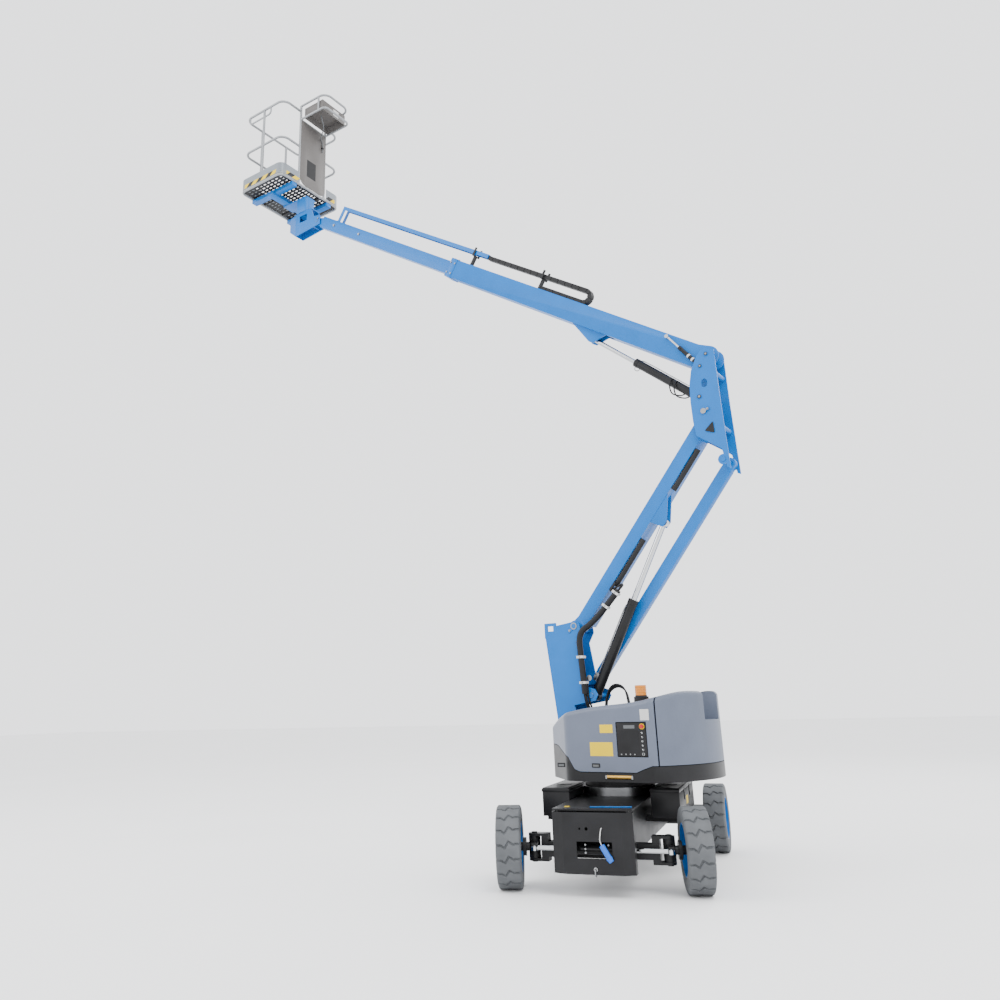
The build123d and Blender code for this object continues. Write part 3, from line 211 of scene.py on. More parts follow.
def paint(name, colour, rough, metal=0.0, spread=0.06, scale=6.0, bump=0.0, coat=0.0, grain=60.0,
          dust=0.0):
    """A finish whose colour and roughness drift a little, with a fine relief when bump is given."""
    mat = bpy.data.materials.new(name)
    mat.use_nodes = True
    tree = mat.node_tree
    shader = tree.nodes["Principled BSDF"]
    shader.inputs["Metallic"].default_value = metal
    shader.inputs["Specular IOR Level"].default_value = SHINE
    shader.inputs["Coat Weight"].default_value = coat
    shader.inputs["Coat Roughness"].default_value = COAT_ROUGHNESS
    where = tree.nodes.new("ShaderNodeTexCoord")
    noise = tree.nodes.new("ShaderNodeTexNoise")
    noise.inputs["Scale"].default_value = scale
    noise.inputs["Detail"].default_value = 5
    tree.links.new(where.outputs["Object"], noise.inputs["Vector"])
    ramp = tree.nodes.new("ShaderNodeValToRGB")
    dark, light = ramp.color_ramp.elements
    dark.position = DARK_END
    light.position = LIGHT_END
    dark.color = (*[c * (1 - spread) for c in colour], 1)
    light.color = (*[min(1, c * (1 + spread) + dust) for c in colour], 1)
    tree.links.new(noise.outputs["Fac"], ramp.inputs["Fac"])
    tree.links.new(ramp.outputs["Color"], shader.inputs["Base Color"])
    rough_map = tree.nodes.new("ShaderNodeMapRange")
    rough_map.inputs["To Min"].default_value = max(LEAST_ROUGHNESS, rough - GLOSSIER)
    rough_map.inputs["To Max"].default_value = rough + DULLER
    tree.links.new(noise.outputs["Fac"], rough_map.inputs["Value"])
    tree.links.new(rough_map.outputs["Result"], shader.inputs["Roughness"])
    if bump:
        fine = tree.nodes.new("ShaderNodeTexNoise")
        fine.inputs["Scale"].default_value = grain
        fine.inputs["Detail"].default_value = 3
        tree.links.new(where.outputs["Object"], fine.inputs["Vector"])
        relief = tree.nodes.new("ShaderNodeBump")
        relief.inputs["Strength"].default_value = bump
        relief.inputs["Distance"].default_value = BUMP_HEIGHT
        tree.links.new(fine.outputs["Fac"], relief.inputs["Height"])
        tree.links.new(relief.outputs["Normal"], shader.inputs["Normal"])
    return mat


M = {
    "blue": paint("blue paint", (0.0, 0.118, 0.40), 0.34, spread=0.05, coat=0.06, bump=0.05),
    "cowl": paint("cowl paint", (0.105, 0.122, 0.165), 0.36, spread=0.05, coat=0.1, bump=0.08),
    "weight": paint("weight paint", (0.100, 0.117, 0.158), 0.42, bump=0.35, grain=45),
    "black": paint("black paint", (0.007, 0.007, 0.008), 0.36, spread=0.25, dust=0.002, bump=0.08),
    "dark": paint("dark plastic", (0.010, 0.010, 0.011), 0.5, spread=0.2, dust=0.002, bump=0.2,
                  grain=300),
    "rubber": paint("black hose", (0.008, 0.008, 0.009), 0.5, spread=0.15, bump=0.15, grain=400),
    "chrome": paint("chrome", (0.52, 0.53, 0.54), 0.09, metal=1.0, spread=0.02),
    "steel": paint("steel", (0.24, 0.245, 0.25), 0.32, metal=1.0, spread=0.08, bump=0.05),
    "zinc": paint("zinc", (0.27, 0.275, 0.28), 0.38, metal=0.9, spread=0.08),
    "tyre": paint("grey tyre", (0.088, 0.093, 0.099), 0.74, spread=0.14, scale=9, dust=0.006, bump=0.4,
                  grain=120),
    "rail": paint("rail paint", (0.26, 0.27, 0.28), 0.32, metal=0.3, spread=0.05),
    "panel": paint("panel paint", (0.105, 0.098, 0.094), 0.42),
    "toe": paint("toe board paint", (0.19, 0.21, 0.23), 0.38, metal=0.3, spread=0.05),
    "floor": paint("floor plate", (0.022, 0.022, 0.024), 0.45, metal=0.3, spread=0.15),
    "amber": paint("amber lens", (0.60, 0.19, 0.0), 0.16, spread=0.08, coat=0.6),
    "brass": paint("brass", (0.42, 0.25, 0.06), 0.28, metal=1.0, spread=0.10),
    "yellow": paint("yellow label", (0.66, 0.46, 0.0), 0.45, spread=0.03),
    "white": paint("white label", (0.52, 0.52, 0.51), 0.45, spread=0.03),
    "red": paint("red plastic", (0.40, 0.006, 0.006), 0.30, spread=0.05, coat=0.4),
    "green": paint("green plastic", (0.02, 0.35, 0.08), 0.35, spread=0.05),
    "grey": paint("grey plastic", (0.10, 0.105, 0.11), 0.45, spread=0.05),
    "plug": paint("blue plug", (0.02, 0.12, 0.50), 0.40, spread=0.08),
}
FINISHES = {
    "black": ("chassis_frame", "front_plate", "steer_axle", "drive_axle", "battery_tray_left",
              "battery_tray_right", "battery_lid_left", "battery_lid_right", "lower_skirt",
              "counterweight_base", "lift_barrel", "upper_lift_barrel", "levelling_barrel",
              "steer_barrel", "steer_knuckle_left", "steer_knuckle_right", "tray_stands",
              "turntable_frame", "hydraulic_unit"),
    "dark": ("energy_chain", "ground_controls", "riser_conduits", "batteries_left", "batteries_right"),
    "floor": ("platform_floor",),
    "blue": ("mast", "riser_arm", "riser_link", "riser_knuckle", "base_boom", "extension_boom",
             "hose_tray", "level_bracket", "platform_support", "rim_front_left", "rim_front_right",
             "rim_rear_left", "rim_rear_right"),
    "cowl": ("cowl_near", "cowl_far"),
    "weight": ("counterweight",),
    "chrome": ("lift_rod", "upper_lift_rod", "levelling_rod", "steer_rod"),
    "tyre": ("tyre_front_left", "tyre_front_right", "tyre_rear_left", "tyre_rear_right"),
    "rail": ("guard_posts", "guard_rail_top", "guard_rail_middle", "control_guard"),
    "panel": ("rear_panel", "platform_controls"),
    "toe": ("toe_boards",),
    "steel": ("slew_ring",),
    "amber": ("beacon",),
}
SOFT_EDGES = ("battery_lid_left", "battery_lid_right", "battery_tray_left", "battery_tray_right",
              "rear_panel", "platform_controls", "platform_support", "riser_link", "base_boom",
              "extension_boom", "riser_arm", "counterweight_base")

for finish, names in FINISHES.items():
    for name in names:
        nodes[name].data.materials.clear()
        nodes[name].data.materials.append(M[finish])


def smooth(mesh, degrees):
    """Shades a mesh round, apart from its edges sharper than the angle."""
    for face in mesh.polygons:
        face.use_smooth = True
    mesh.set_sharp_from_angle(angle=math.radians(degrees))


for node in nodes.values():
    smooth(node.data, NODE_SHARP)


def light_border(material, colour, name, border):
    """Paints the outer border of a flat node, seen in the turntable's frame, in a second colour."""
    low, high = local_box(name, TURN)
    tree = material.node_tree

    def math_node(operation, first, second=0.0):
        node = tree.nodes.new("ShaderNodeMath")
        node.operation = operation
        for socket, value in zip(node.inputs, (first, second)):
            if isinstance(value, float):
                socket.default_value = value
            else:
                tree.links.new(value, socket)
        return node.outputs[0]

    where = tree.nodes.new("ShaderNodeTexCoord").outputs["Object"]
    reach = []
    for axis, low_end, high_end in ((ALONG, low.x, high.x), (ACROSS, low.y, high.y)):
        dot = tree.nodes.new("ShaderNodeVectorMath")
        dot.operation = "DOT_PRODUCT"
        dot.inputs[1].default_value = axis
        tree.links.new(where, dot.inputs[0])
        offset = math_node("SUBTRACT", dot.outputs["Value"], (low_end + high_end) / 2)
        inner = (high_end - low_end) / 2 - border
        reach.append(math_node("SUBTRACT", math_node("ABSOLUTE", offset), inner))
    outside = math_node("GREATER_THAN", math_node("MAXIMUM", *reach))
    mix = tree.nodes.new("ShaderNodeMixRGB")
    shader = tree.nodes["Principled BSDF"]
    tree.links.new(shader.inputs["Base Color"].links[0].from_socket, mix.inputs["Color1"])
    mix.inputs["Color2"].default_value = (*colour, 1)
    tree.links.new(outside, mix.inputs["Fac"])
    tree.links.new(mix.outputs["Color"], shader.inputs["Base Color"])


def add_bevel(obj, width, degrees):
    """Rounds an object's edges that bend by more than the angle."""
    mod = obj.modifiers.new("bevel", "BEVEL")
    mod.width = width
    mod.segments = 2
    mod.limit_method = "ANGLE"
    mod.angle_limit = math.radians(degrees)
    return mod


def soften(obj, width):
    """Rounds the sharp edges of a node as a paint coat or a pressed fold does."""
    weld = obj.modifiers.new("weld", "WELD")
    weld.merge_threshold = 0.00002
    add_bevel(obj, width, NODE_BEND).harden_normals = True


# Pieces that the scene adds
class Piece:
    """Simple forms gathered in one mesh, in a frame, that ride on a body."""

    def __init__(self, name, body, place=WORLD):
        self.name, self.body, self.place = name, body, place
        self.shape = bmesh.new()
        self.used = []

    def paint_last(self, verts, material):
        """Gives a finish to the faces round the vertices just made."""
        if material not in self.used:
            self.used.append(material)
        index = self.used.index(material)
        for face in {f for v in verts for f in v.link_faces}:
            face.material_index = index

    def box(self, material, low, high):
        low, high = Vector(low), Vector(high)
        size = Matrix.Diagonal((*(high - low), 1))
        place = Matrix.Translation((low + high) / 2) @ size
        made = bmesh.ops.create_cube(self.shape, size=1, matrix=place)
        self.paint_last(made["verts"], material)

    def rod(self, material, start, end, radius, sides=20, tip=None):
        """A round bar, or a cone when its tip has another radius."""
        start, end = Vector(start), Vector(end)
        axis = end - start
        turn = axis.to_track_quat("Z", "Y").to_matrix().to_4x4()
        made = bmesh.ops.create_cone(self.shape, cap_ends=True, segments=sides, radius1=radius,
                                     radius2=radius if tip is None else tip, depth=axis.length,
                                     matrix=Matrix.Translation((start + end) / 2) @ turn)
        self.paint_last(made["verts"], material)

    def bolt(self, place, axis, size):
        """A hexagon head on its washer, standing out along the axis."""
        place, axis = Vector(place), Vector(axis).normalized()
        washer = place + axis * size * 0.18
        self.rod("zinc", place, washer, size * 1.15, 16)
        self.rod("zinc", washer, place + axis * size * 0.85, size * 0.9, 6)

    def hose(self, material, points, radius, sides=12, steps=8):
        """A round bar along a smooth line through the points."""
        line = smooth_line([Vector(p) for p in points], steps)
        side = None
        rings = []
        for n, spot in enumerate(line):
            ahead = (line[min(n + 1, len(line) - 1)] - line[max(n - 1, 0)]).normalized()
            if side is None:
                side = ahead.orthogonal().normalized()
            side = (side - ahead * side.dot(ahead)).normalized()
            other = ahead.cross(side)
            ring = []
            for k in range(sides):
                turn = 2 * math.pi * k / sides
                outward = math.cos(turn) * side + math.sin(turn) * other
                ring.append(self.shape.verts.new(spot + radius * outward))
            rings.append(ring)
        for near, far in zip(rings, rings[1:]):
            for k in range(sides):
                after = (k + 1) % sides
                self.shape.faces.new((near[k], near[after], far[after], far[k]))
        self.shape.faces.new(list(reversed(rings[0])))
        self.shape.faces.new(rings[-1])
        self.paint_last([v for ring in rings for v in ring], material)

    def sheet(self, material, corners, depth):
        """A flat outline of corners, as thick as the vector depth."""
        front = [self.shape.verts.new(Vector(c)) for c in corners]
        back = [self.shape.verts.new(Vector(c) + Vector(depth)) for c in corners]
        self.shape.faces.new(front)
        self.shape.faces.new(list(reversed(back)))
        for k in range(len(front)):
            after = (k + 1) % len(front)
            self.shape.faces.new((front[k], back[k], back[after], front[after]))
        self.paint_last(front + back, material)

    def done(self, bevel=0.0):
        """Turns the forms into one object, and lets it ride on its body if it has one."""
        mesh = bpy.data.meshes.new(self.name)
        bmesh.ops.recalc_face_normals(self.shape, faces=self.shape.faces)
        self.shape.transform(self.place)
        self.shape.to_mesh(mesh)
        self.shape.free()
        for material in self.used:
            mesh.materials.append(M[material])
        smooth(mesh, PIECE_SHARP)
        obj = bpy.data.objects.new(self.name, mesh)
        bpy.context.collection.objects.link(obj)
        if bevel:
            add_bevel(obj, bevel, PIECE_SHARP)
        if self.body:
            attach(obj, self.body)
        return obj


def smooth_line(points, steps):
    """Points of a smooth line that passes through those given."""
    line = []
    for n in range(len(points) - 1):
        before = points[max(n - 1, 0)]
        start, end = points[n], points[n + 1]
        after = points[min(n + 2, len(points) - 1)]
        for k in range(steps):
            t = k / steps
            line.append(0.5 * (2 * start + (end - before) * t
                               + (2 * before - 5 * start + 4 * end - after) * t ** 2
                               + (3 * start - before - 3 * end + after) * t ** 3))
    line.append(points[-1])
    return line


def rounded(corners, radius):
    """A flat outline with its corners cut round."""
    line = []
    for n, corner in enumerate(corners):
        before, after = corners[n - 1], corners[(n + 1) % len(corners)]
        spot, back, ahead = Vector(corner), Vector(before), Vector(after)
        start = spot + (back - spot).normalized() * radius
        end = spot + (ahead - spot).normalized() * radius
        for k in range(5):
            t = k / 4
            line.append(((1 - t) ** 2 * start + 2 * t * (1 - t) * spot + t * t * end).to_tuple())
    return line


def pin_head(piece, pin, face, side, radius, keeper):
    """A pin's head on a plate, with the keeper plate that holds it, and its bolt."""
    x, z = pin
    dx, dz = keeper
    piece.rod("zinc", (x, face, z), (x, face + side * 0.006, z), radius, 28)
    here, there = Vector((x, face, z)), Vector((x + dx, face, z + dz))
    across = Vector((dz, 0, -dx)).normalized() * radius * 0.55
    piece.sheet("blue", [here + across, here - across, there - across, there + across],
                (0, side * 0.005, 0))
    piece.bolt((x + dx * 0.72, face + side * 0.005, z + dz * 0.72), (0, side, 0), 0.010)


# Wheels
def groove_line(pitch):
    """The zigzag groove across the tread: (across, along) in metres."""
    shift = GROOVE_STAGGER * pitch
    return [(-0.095, -shift), (-0.049, -shift), (-0.023, 0.024), (0.004, -0.021),
            (0.037, shift + 0.006), (0.052, shift), (0.095, shift)]


def near_line(x, s, line):
    """The distance of (x, s) from a broken line."""
    best = 1.0
    for (x0, s0), (x1, s1) in zip(line, line[1:]):
        dx, ds = x1 - x0, s1 - s0
        t = max(0, min(1, ((x - x0) * dx + (s - s0) * ds) / (dx * dx + ds * ds)))
        best = min(best, math.hypot(x - x0 - t * dx, s - s0 - t * ds))
    return best


def tyre_section():
    """The tyre's outline: (across, radius), from one bead over the tread to the other."""
    side = [(-TYRE_HALF + 0.004, TYRE_BORE), (-TYRE_HALF, 0.200), (-TYRE_HALF, 0.235),
            (-TYRE_HALF + 0.001, 0.258), (-TYRE_HALF + 0.004, 0.268), (-TYRE_HALF + 0.009, 0.275)]
    flat = TYRE_HALF - 0.015
    tread = [(-flat + 2 * flat * n / TREAD_STEPS, TYRE_RADIUS) for n in range(TREAD_STEPS + 1)]
    return side + tread + [(-x, r) for x, r in reversed(side)]


def groove_depths(section):
    """How deep the groove is at each point of the section, round one pitch."""
    pitch = 2 * math.pi * TYRE_RADIUS / LUG_COUNT
    lines = [[(x, s + n * pitch) for x, s in groove_line(pitch)] for n in (-1, 0, 1)]
    sunk = []
    for x, r in section:
        half = SHOULDER_HALF if abs(x) > 0.045 else GROOVE_HALF
        column = []
        for k in range(PITCH_STEPS):
            gap = min(near_line(x, (k / PITCH_STEPS) * pitch, line) for line in lines)
            press = max(0.0, min(1.0, (half + GROOVE_EDGE - gap) / GROOVE_EDGE))
            column.append(GROOVE_DEPTH * press * (1 if r > 0.250 else 0))
        sunk.append(column)
    return sunk


def tyre_mesh():
    """A tyre about the X axis: its section turned round, with grooves pressed into the tread."""
    section = tyre_section()
    sunk = groove_depths(section)
    count = len(section)
    turns = LUG_COUNT * PITCH_STEPS
    verts = []
    faces = []
    for k in range(turns):
        turn = 2 * math.pi * k / turns
        for (x, r), column in zip(section, sunk):
            reach = r - column[k % PITCH_STEPS]
            verts.append((x, -reach * math.sin(turn), reach * math.cos(turn)))
        here, there = k * count, (k + 1) % turns * count
        for n in range(count):
            after = (n + 1) % count
            faces.append((here + n, there + n, there + after, here + after))
    mesh = bpy.data.meshes.new("tyre")
    mesh.from_pydata(verts, [], faces)
    mesh.materials.append(M["tyre"])
    smooth(mesh, TYRE_SHARP)
    return mesh


def wheel_place(name):
    """The frame at a wheel's centre, with X along its axle and Z up."""
    joint = joints[f"wheel_{name}_spin"]
    x = Vector(joint["axis"]).normalized()
    z = Vector((0, 0, 1))
    turn = Matrix((x, z.cross(x), z)).transposed().to_4x4()
    return Matrix.Translation(Vector(joint["pos_m"])) @ turn


def dress_wheels():
    """A grooved tyre for each plain one, with the nuts and the cap of its hub."""
    mesh = tyre_mesh()
    for name, side in WHEELS.items():
        place = wheel_place(name)
        tyre = bpy.data.objects.new(f"tread_{name}", mesh)
        tyre.matrix_world = place
        bpy.context.collection.objects.link(tyre)
        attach(tyre, f"wheel_{name}")
        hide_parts(f"tyre_{name}")
        nuts = Piece(f"wheel_nuts_{name}", f"wheel_{name}", place)
        face = side * HUB_FACE
        for y, z in circle(8, HUB_NUTS):
            nuts.bolt((face, y, z), (side, 0, 0), 0.010)
        nuts.rod("black", (face, 0, 0), (face + side * 0.014, 0, 0), 0.026, 32, 0.020)
        for y, z in circle(5, DISC_NUTS):
            nuts.bolt((side * DISC_FACE, y, z), (side, 0, 0), 0.006)
        nuts.done()


# Chassis
def front_fittings():
    """The charging plug in its slot, its wire, the lashing ring, and what lies on the deck."""
    low, high = local_box("front_plate", WORLD)
    face = low.y
    fit = Piece("front_fittings", "chassis")
    fit.rod("plug", (0.066, face - 0.008, 0.334), (0.112, face - 0.020, 0.262), 0.019, 24)
    fit.rod("plug", (0.112, face - 0.020, 0.262), (0.130, face - 0.024, 0.236), 0.023, 24, 0.017)
    fit.rod("dark", (-0.09, face + 0.030, 0.306), (0.13, face + 0.030, 0.306), 0.006, 16)
    for x, z in ((-0.055, 0.333), (0.105, 0.333), (-0.055, 0.282), (-0.055, 0.306)):
        fit.rod("zinc", (x, face + 0.022, z), (x, face + 0.040, z), 0.007, 6)
    wire = [(0.067, face + 0.02, 0.441), (0.067, face - 0.010, 0.438), (0.060, face - 0.018, 0.400),
            (0.056, face - 0.014, 0.365), (0.066, face - 0.008, 0.332)]
    fit.hose("white", wire, 0.0035, 8)
    hole = Vector((0.012, face + 0.005, 0.182))
    turns = [2 * math.pi * n / 16 for n in range(17)]
    ring = [hole + Vector((0, 0.021 * math.sin(turn), -0.020 + 0.022 * math.cos(turn)))
            for turn in turns]
    fit.hose("zinc", ring, 0.0045, 10, 2)
    deck = max(v.co.z for v in nodes["chassis_frame"].data.vertices if v.co.y < face + 0.22)
    line = [(-0.024, face + 0.108, deck + 0.004), (0.06, face + 0.125, deck + 0.004),
            (0.15, face + 0.128, deck + 0.004), (high.x - 0.02, face + 0.150, deck + 0.004)]
    fit.hose("blue", line, 0.004, 8)
    fit.box("yellow", (-0.215, face + 0.135, deck), (-0.180, face + 0.160, deck + 0.004))
    fit.done(0.0008)


def battery_fittings():
    """Rubber latches, a blank label and two ribs on each battery lid."""
    lids = Piece("battery_fittings", "chassis")
    for side, name in ((1, "right"), (-1, "left")):
        low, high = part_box(f"battery_lid_{name}")
        tray_low, tray_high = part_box(f"battery_tray_{name}")
        outer = tray_high[0] if side > 0 else tray_low[0]
        middle = (low[1] + high[1]) / 2
        near, far = sorted((outer, outer + side * 0.006))
        for y in (middle - 0.18, middle + 0.18):
            lids.box("dark", (near, y - 0.016, low[2] - 0.075), (far, y + 0.016, low[2] + 0.012))
            lids.bolt((outer + side * 0.006, y, low[2] - 0.055), (side, 0, 0), 0.007)
        near, far = sorted((outer, outer + side * 0.0006))
        lids.box("yellow", (near, middle - 0.06, low[2] - 0.12), (far, middle + 0.06, low[2] - 0.06))
        for y in (middle - 0.20, middle + 0.19):
            lids.box("dark", (low[0] + 0.05, y, high[2]), (high[0] - 0.05, y + 0.01, high[2] + 0.003))
    lids.done(0.0008)


def slew_bolts():
    """The bolts up through the rim of the slewing ring."""
    ring = Piece("slew_bolts", "chassis")
    low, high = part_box("slew_ring")
    for x, y in circle(24, (high[0] - low[0]) / 2 * 0.965, 0.5):
        ring.bolt((x, y, low[2]), (0, 0, -1), 0.010)
    ring.done()


def axle_fittings():
    """The rear hubs' bolts, and the hose that runs to each."""
    axle = Piece("axle_fittings", "chassis")
    for side in (1, -1):
        for y, z in circle(6, 0.050):
            axle.bolt((side * REAR_HUB, REAR_AXLE[0] + y, REAR_AXLE[1] + z), (side, 0, 0), 0.007)
        hose = [(side * 0.30, 0.86, 0.33), (side * 0.34, 0.82, 0.36), (side * 0.24, 0.76, 0.42),
                (side * 0.12, 0.74, 0.46)]
        axle.hose("rubber", hose, 0.008, 10)
    axle.done()


# Turntable
def ground_panel():
    """A bare dark plate with a stop button, a key, switches and a small display."""
    panel = Piece("ground_panel", "turntable", TURN)
    plate = PANEL_FACE + 0.0025

    def knob(material, x, z, start, end, radius, sides, tip=None):
        panel.rod(material, (x, PANEL_FACE + start, z), (x, PANEL_FACE + end, z), radius, sides, tip)

    panel.box("dark", (-0.526, PANEL_FACE, 0.877), (-0.294, plate, 1.111))
    panel.box("black", (-0.470, plate, 0.900), (-0.306, plate + 0.0006, 1.060))
    knob("yellow", -0.500, 1.086, 0.0025, 0.005, 0.021, 28)
    knob("dark", -0.500, 1.086, 0.005, 0.008, 0.012, 24)
    knob("red", -0.500, 1.086, 0.008, 0.016, 0.017, 28, 0.015)
    for n in range(5):
        z = 1.040 - n * 0.030
        knob("zinc", -0.498, z, 0.0025, 0.006, 0.0075, 6)
        lever = (-0.498, PANEL_FACE + 0.006, z), (-0.498, PANEL_FACE + 0.016, z + 0.004)
        panel.rod("chrome", *lever, 0.0030, 10)
    for n in range(4):
        knob("zinc", -0.320 - n * 0.036, 0.888, 0.0025, 0.005, 0.0055, 6)
    knob("zinc", -0.498, 0.890, 0.0025, 0.007, 0.011, 28)
    panel.box("dark", (-0.500, PANEL_FACE + 0.007, 0.882), (-0.496, PANEL_FACE + 0.013, 0.898))
    panel.box("grey", (-0.440, plate, 1.072), (-0.350, plate + 0.0006, 1.096))
    panel.done(0.0006)


def cowl_fittings(name, body, side, labels, latches):
    """Blank labels and two flush latches on the outer face of a cowl."""
    fit = Piece(name, body, TURN)

    def patch(material, x0, x1, z0, z1, under, over):
        near, far = sorted((side * (COWL_HALF + under), side * (COWL_HALF + over)))
        fit.box(material, (x0, near, z0), (x1, far, z1))

    for material, x0, x1, z0, z1 in labels:
        patch(material, x0, x1, z0, z1, 0, LABEL_THICKNESS)
    for x in latches:
        patch("dark", x - 0.034, x + 0.034, 0.790, 0.822, 0, 0.003)
        patch("grey", x - 0.024, x + 0.024, 0.797, 0.812, 0.003, 0.005)
    fit.done(0.0003)


def beacon_base():
    """The beacon's dark foot, and the ribs of its lens."""
    base = Piece("beacon_base", "cowl_near_body", TURN)
    low, high = local_box("beacon", TURN)
    x, y = (low.x + high.x) / 2, (low.y + high.y) / 2
    base.rod("dark", (x, y, low.z), (x, y, BEACON_BASE), 0.0575, 40)
    base.rod("dark", (x, y, BEACON_BASE), (x, y, BEACON_BASE + 0.010), 0.049, 40, BEACON_LENS)
    for level in (0.030, 0.050, 0.070):
        z = BEACON_BASE + level
        base.rod("amber", (x, y, z), (x, y, z + 0.006), BEACON_LENS, 40)
    base.done(0.001)


def turntable_trim():
    """The mast's pin heads, and the brass latch bar in the skirt."""
    trim = Piece("turntable_trim", "turntable", TURN)
    for side in (1, -1):
        pin_head(trim, ARM_PIN, side * MAST_HALF, side, 0.030, (0.058, -0.050))
        pin_head(trim, LINK_PIN, side * MAST_HALF, side, 0.024, (0.062, 0.006))
        pin_head(trim, LIFT_PIN, side * MAST_HALF, side, 0.022, (0.055, 0.004))
    y, z = 0.586, 0.724
    trim.rod("brass", (-0.387, y, z), (-0.187, y, z), 0.020, 28)
    for x in (-0.399, -0.187):
        trim.rod("zinc", (x, y, z), (x + 0.012, y, z), 0.023, 6)
    trim.done(0.0008)


def mast_hoses():
    """Three loops between the cowls, and three hoses that rise to the sleeve."""
    hoses = Piece("mast_hoses", "turntable", TURN)
    for n, y in enumerate((0.112, 0.126, 0.140)):
        rise = 0.010 * n
        loop = [(0.015, y, 1.20), (0.000, y, 1.300), (-0.045, y, 1.366 + rise),
                (-0.115, y, 1.385 + rise), (-0.175, y, 1.335 + rise), (-0.200, y, 1.200)]
        hoses.hose("rubber", loop, 0.0065, 10)
    for n in range(3):
        x = 0.160 + 0.018 * n
        y = 0.139 + 0.012 * (n % 2)
        hoses.hose("rubber", [(x - 0.02, 0.10, 1.180), (x, y, 1.300), (x + 0.006, y, 1.42)], 0.008, 10)
    hoses.done()


# Riser
SLEEVE = [(0.183, 0.158, 1.340), (0.193, 0.159, 1.520), (0.202, 0.160, 1.680), (0.200, 0.161, 1.800),
          (0.168, 0.154, 1.862), (0.112, 0.134, 1.905), (0.030, 0.118, 1.975), (-0.060, 0.116, 2.062),
          (-0.171, 0.116, 2.174)]


def hose_sleeve():
    """The hoses' sleeve, which bends from the mast to the lower arm, and its clamps on the mast."""
    sleeve = Piece("hose_sleeve", None, TURN)
    sleeve.hose("rubber", SLEEVE, 0.026, 18)
    ob = sleeve.done()
    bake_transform(ob)
    clamps = Piece("mast_clamps", "turntable", TURN)
    for x, y, z in ((0.187, 0.1875, 1.430), (0.199, 0.1885, 1.640)):
        clamps.box("white", (x - 0.030, MAST_HALF, z - 0.010), (x + 0.030, y, z + 0.010))
        clamps.bolt((x, y, z), (0, 1, 0), 0.006)
    clamps.done(0.001)


def arm_fittings():
    """The sleeve's clamps on the lower arm, and its hoses on to the conduits."""
    arm = Piece("arm_fittings", "lower_arm", ARM)
    back = ARM.inverted() @ TURN
    for spot in ((-0.048, 0.116, 2.050), (-0.150, 0.116, 2.154)):
        x, y, z = back @ Vector(spot)
        arm.box("white", (x - 0.010, ARM_HALF, z - 0.030), (x + 0.010, y + 0.028, z + 0.030))
        arm.bolt((x, y + 0.028, z), (0, 1, 0), 0.006)
    low, high = local_box("riser_conduits", ARM)
    start = back @ Vector(SLEEVE[-1])
    for n in range(3):
        y = 0.094 + 0.012 * n
        z = (low.z + high.z) / 2 + 0.01 * (n - 1)
        arm.hose("rubber", [(start.x - 0.02, start.y, start.z), (start.x + 0.06, y + 0.004, start.z),
                            (low.x - 0.05, y, z), (low.x + 0.03, y, z)], 0.0075, 10)
    arm.done(0.0008)


def barrel_size(name, place):
    """The far end of a cylinder's barrel, its middle across, and its radius."""
    low, high = local_box(name, place)
    return high.x, (low.y + high.y) / 2, (high.y - low.y) / 2


def lift_gland():
    """The lift cylinder's gland, port block and pipe."""
    end, y, radius = barrel_size("lift_barrel", LIFT)
    port, run = -radius - 0.016, -radius - 0.010
    gland = Piece("lift_gland", "lift_cylinder", LIFT)
    gland.rod("black", (end - 0.045, y, 0), (end - 0.001, y, 0), radius + 0.0025, 36)
    gland.box("steel", (0.11, y - 0.022, -radius - 0.030), (0.175, y + 0.022, -radius * 0.7))
    gland.rod("zinc", (0.142, y + 0.022, port), (0.142, y + 0.040, port), 0.010, 6)
    gland.hose("steel", [(0.175, y, run), (0.30, y, run), (end - 0.12, y, run),
                         (end - 0.06, y, -radius * 0.8)], 0.005, 10)
    gland.done(0.0008)


# Knuckle
def knuckle_pins():
    """Pin heads on both side plates, with a dark sheet below them: painted shade standing for an
    opening.
    """
    low, high = local_box("riser_knuckle", KNUCKLE)
    pins = Piece("knuckle_pins", "riser_knuckle_body", KNUCKLE)
    for face, side in ((high.y, 1), (low.y, -1)):
        rim, head = face + side * 0.003, face + side * 0.004
        for x, z, radius in PLAIN_PINS:
            pins.rod("dark", (x, face, z), (x, rim, z), radius, 28)
            pins.rod("steel", (x, rim, z), (x, head, z), radius * 0.6, 24)
        pin_head(pins, KNUCKLE_ARM_PIN, face, side, 0.024, (-0.050, 0.016))
        # The dark sheet is painted shade: it stands for the see-through opening in each plate
        corners = rounded(OPENING_SHADE_OUTLINE, 0.014)
        pins.sheet("dark", [(x, face, z) for x, z in corners], (0, side * 0.0006, 0))
    pins.done(0.0008)


def levelling_fittings():
    """The levelling cylinder's gland, and the bands on its barrel."""
    end, y, radius = barrel_size("levelling_barrel", LEVELLING)
    fit = Piece("levelling_fittings", "levelling_cylinder", LEVELLING)
    fit.rod("black", (end - 0.030, y, 0), (end - 0.001, y, 0), radius + 0.002, 32)
    for n in range(5):
        x = 0.075 + n * 0.026
        fit.rod("white" if n % 2 else "dark", (x, y, 0), (x + 0.018, y, 0), radius + 0.0015, 28)
    fit.done(0.0006)


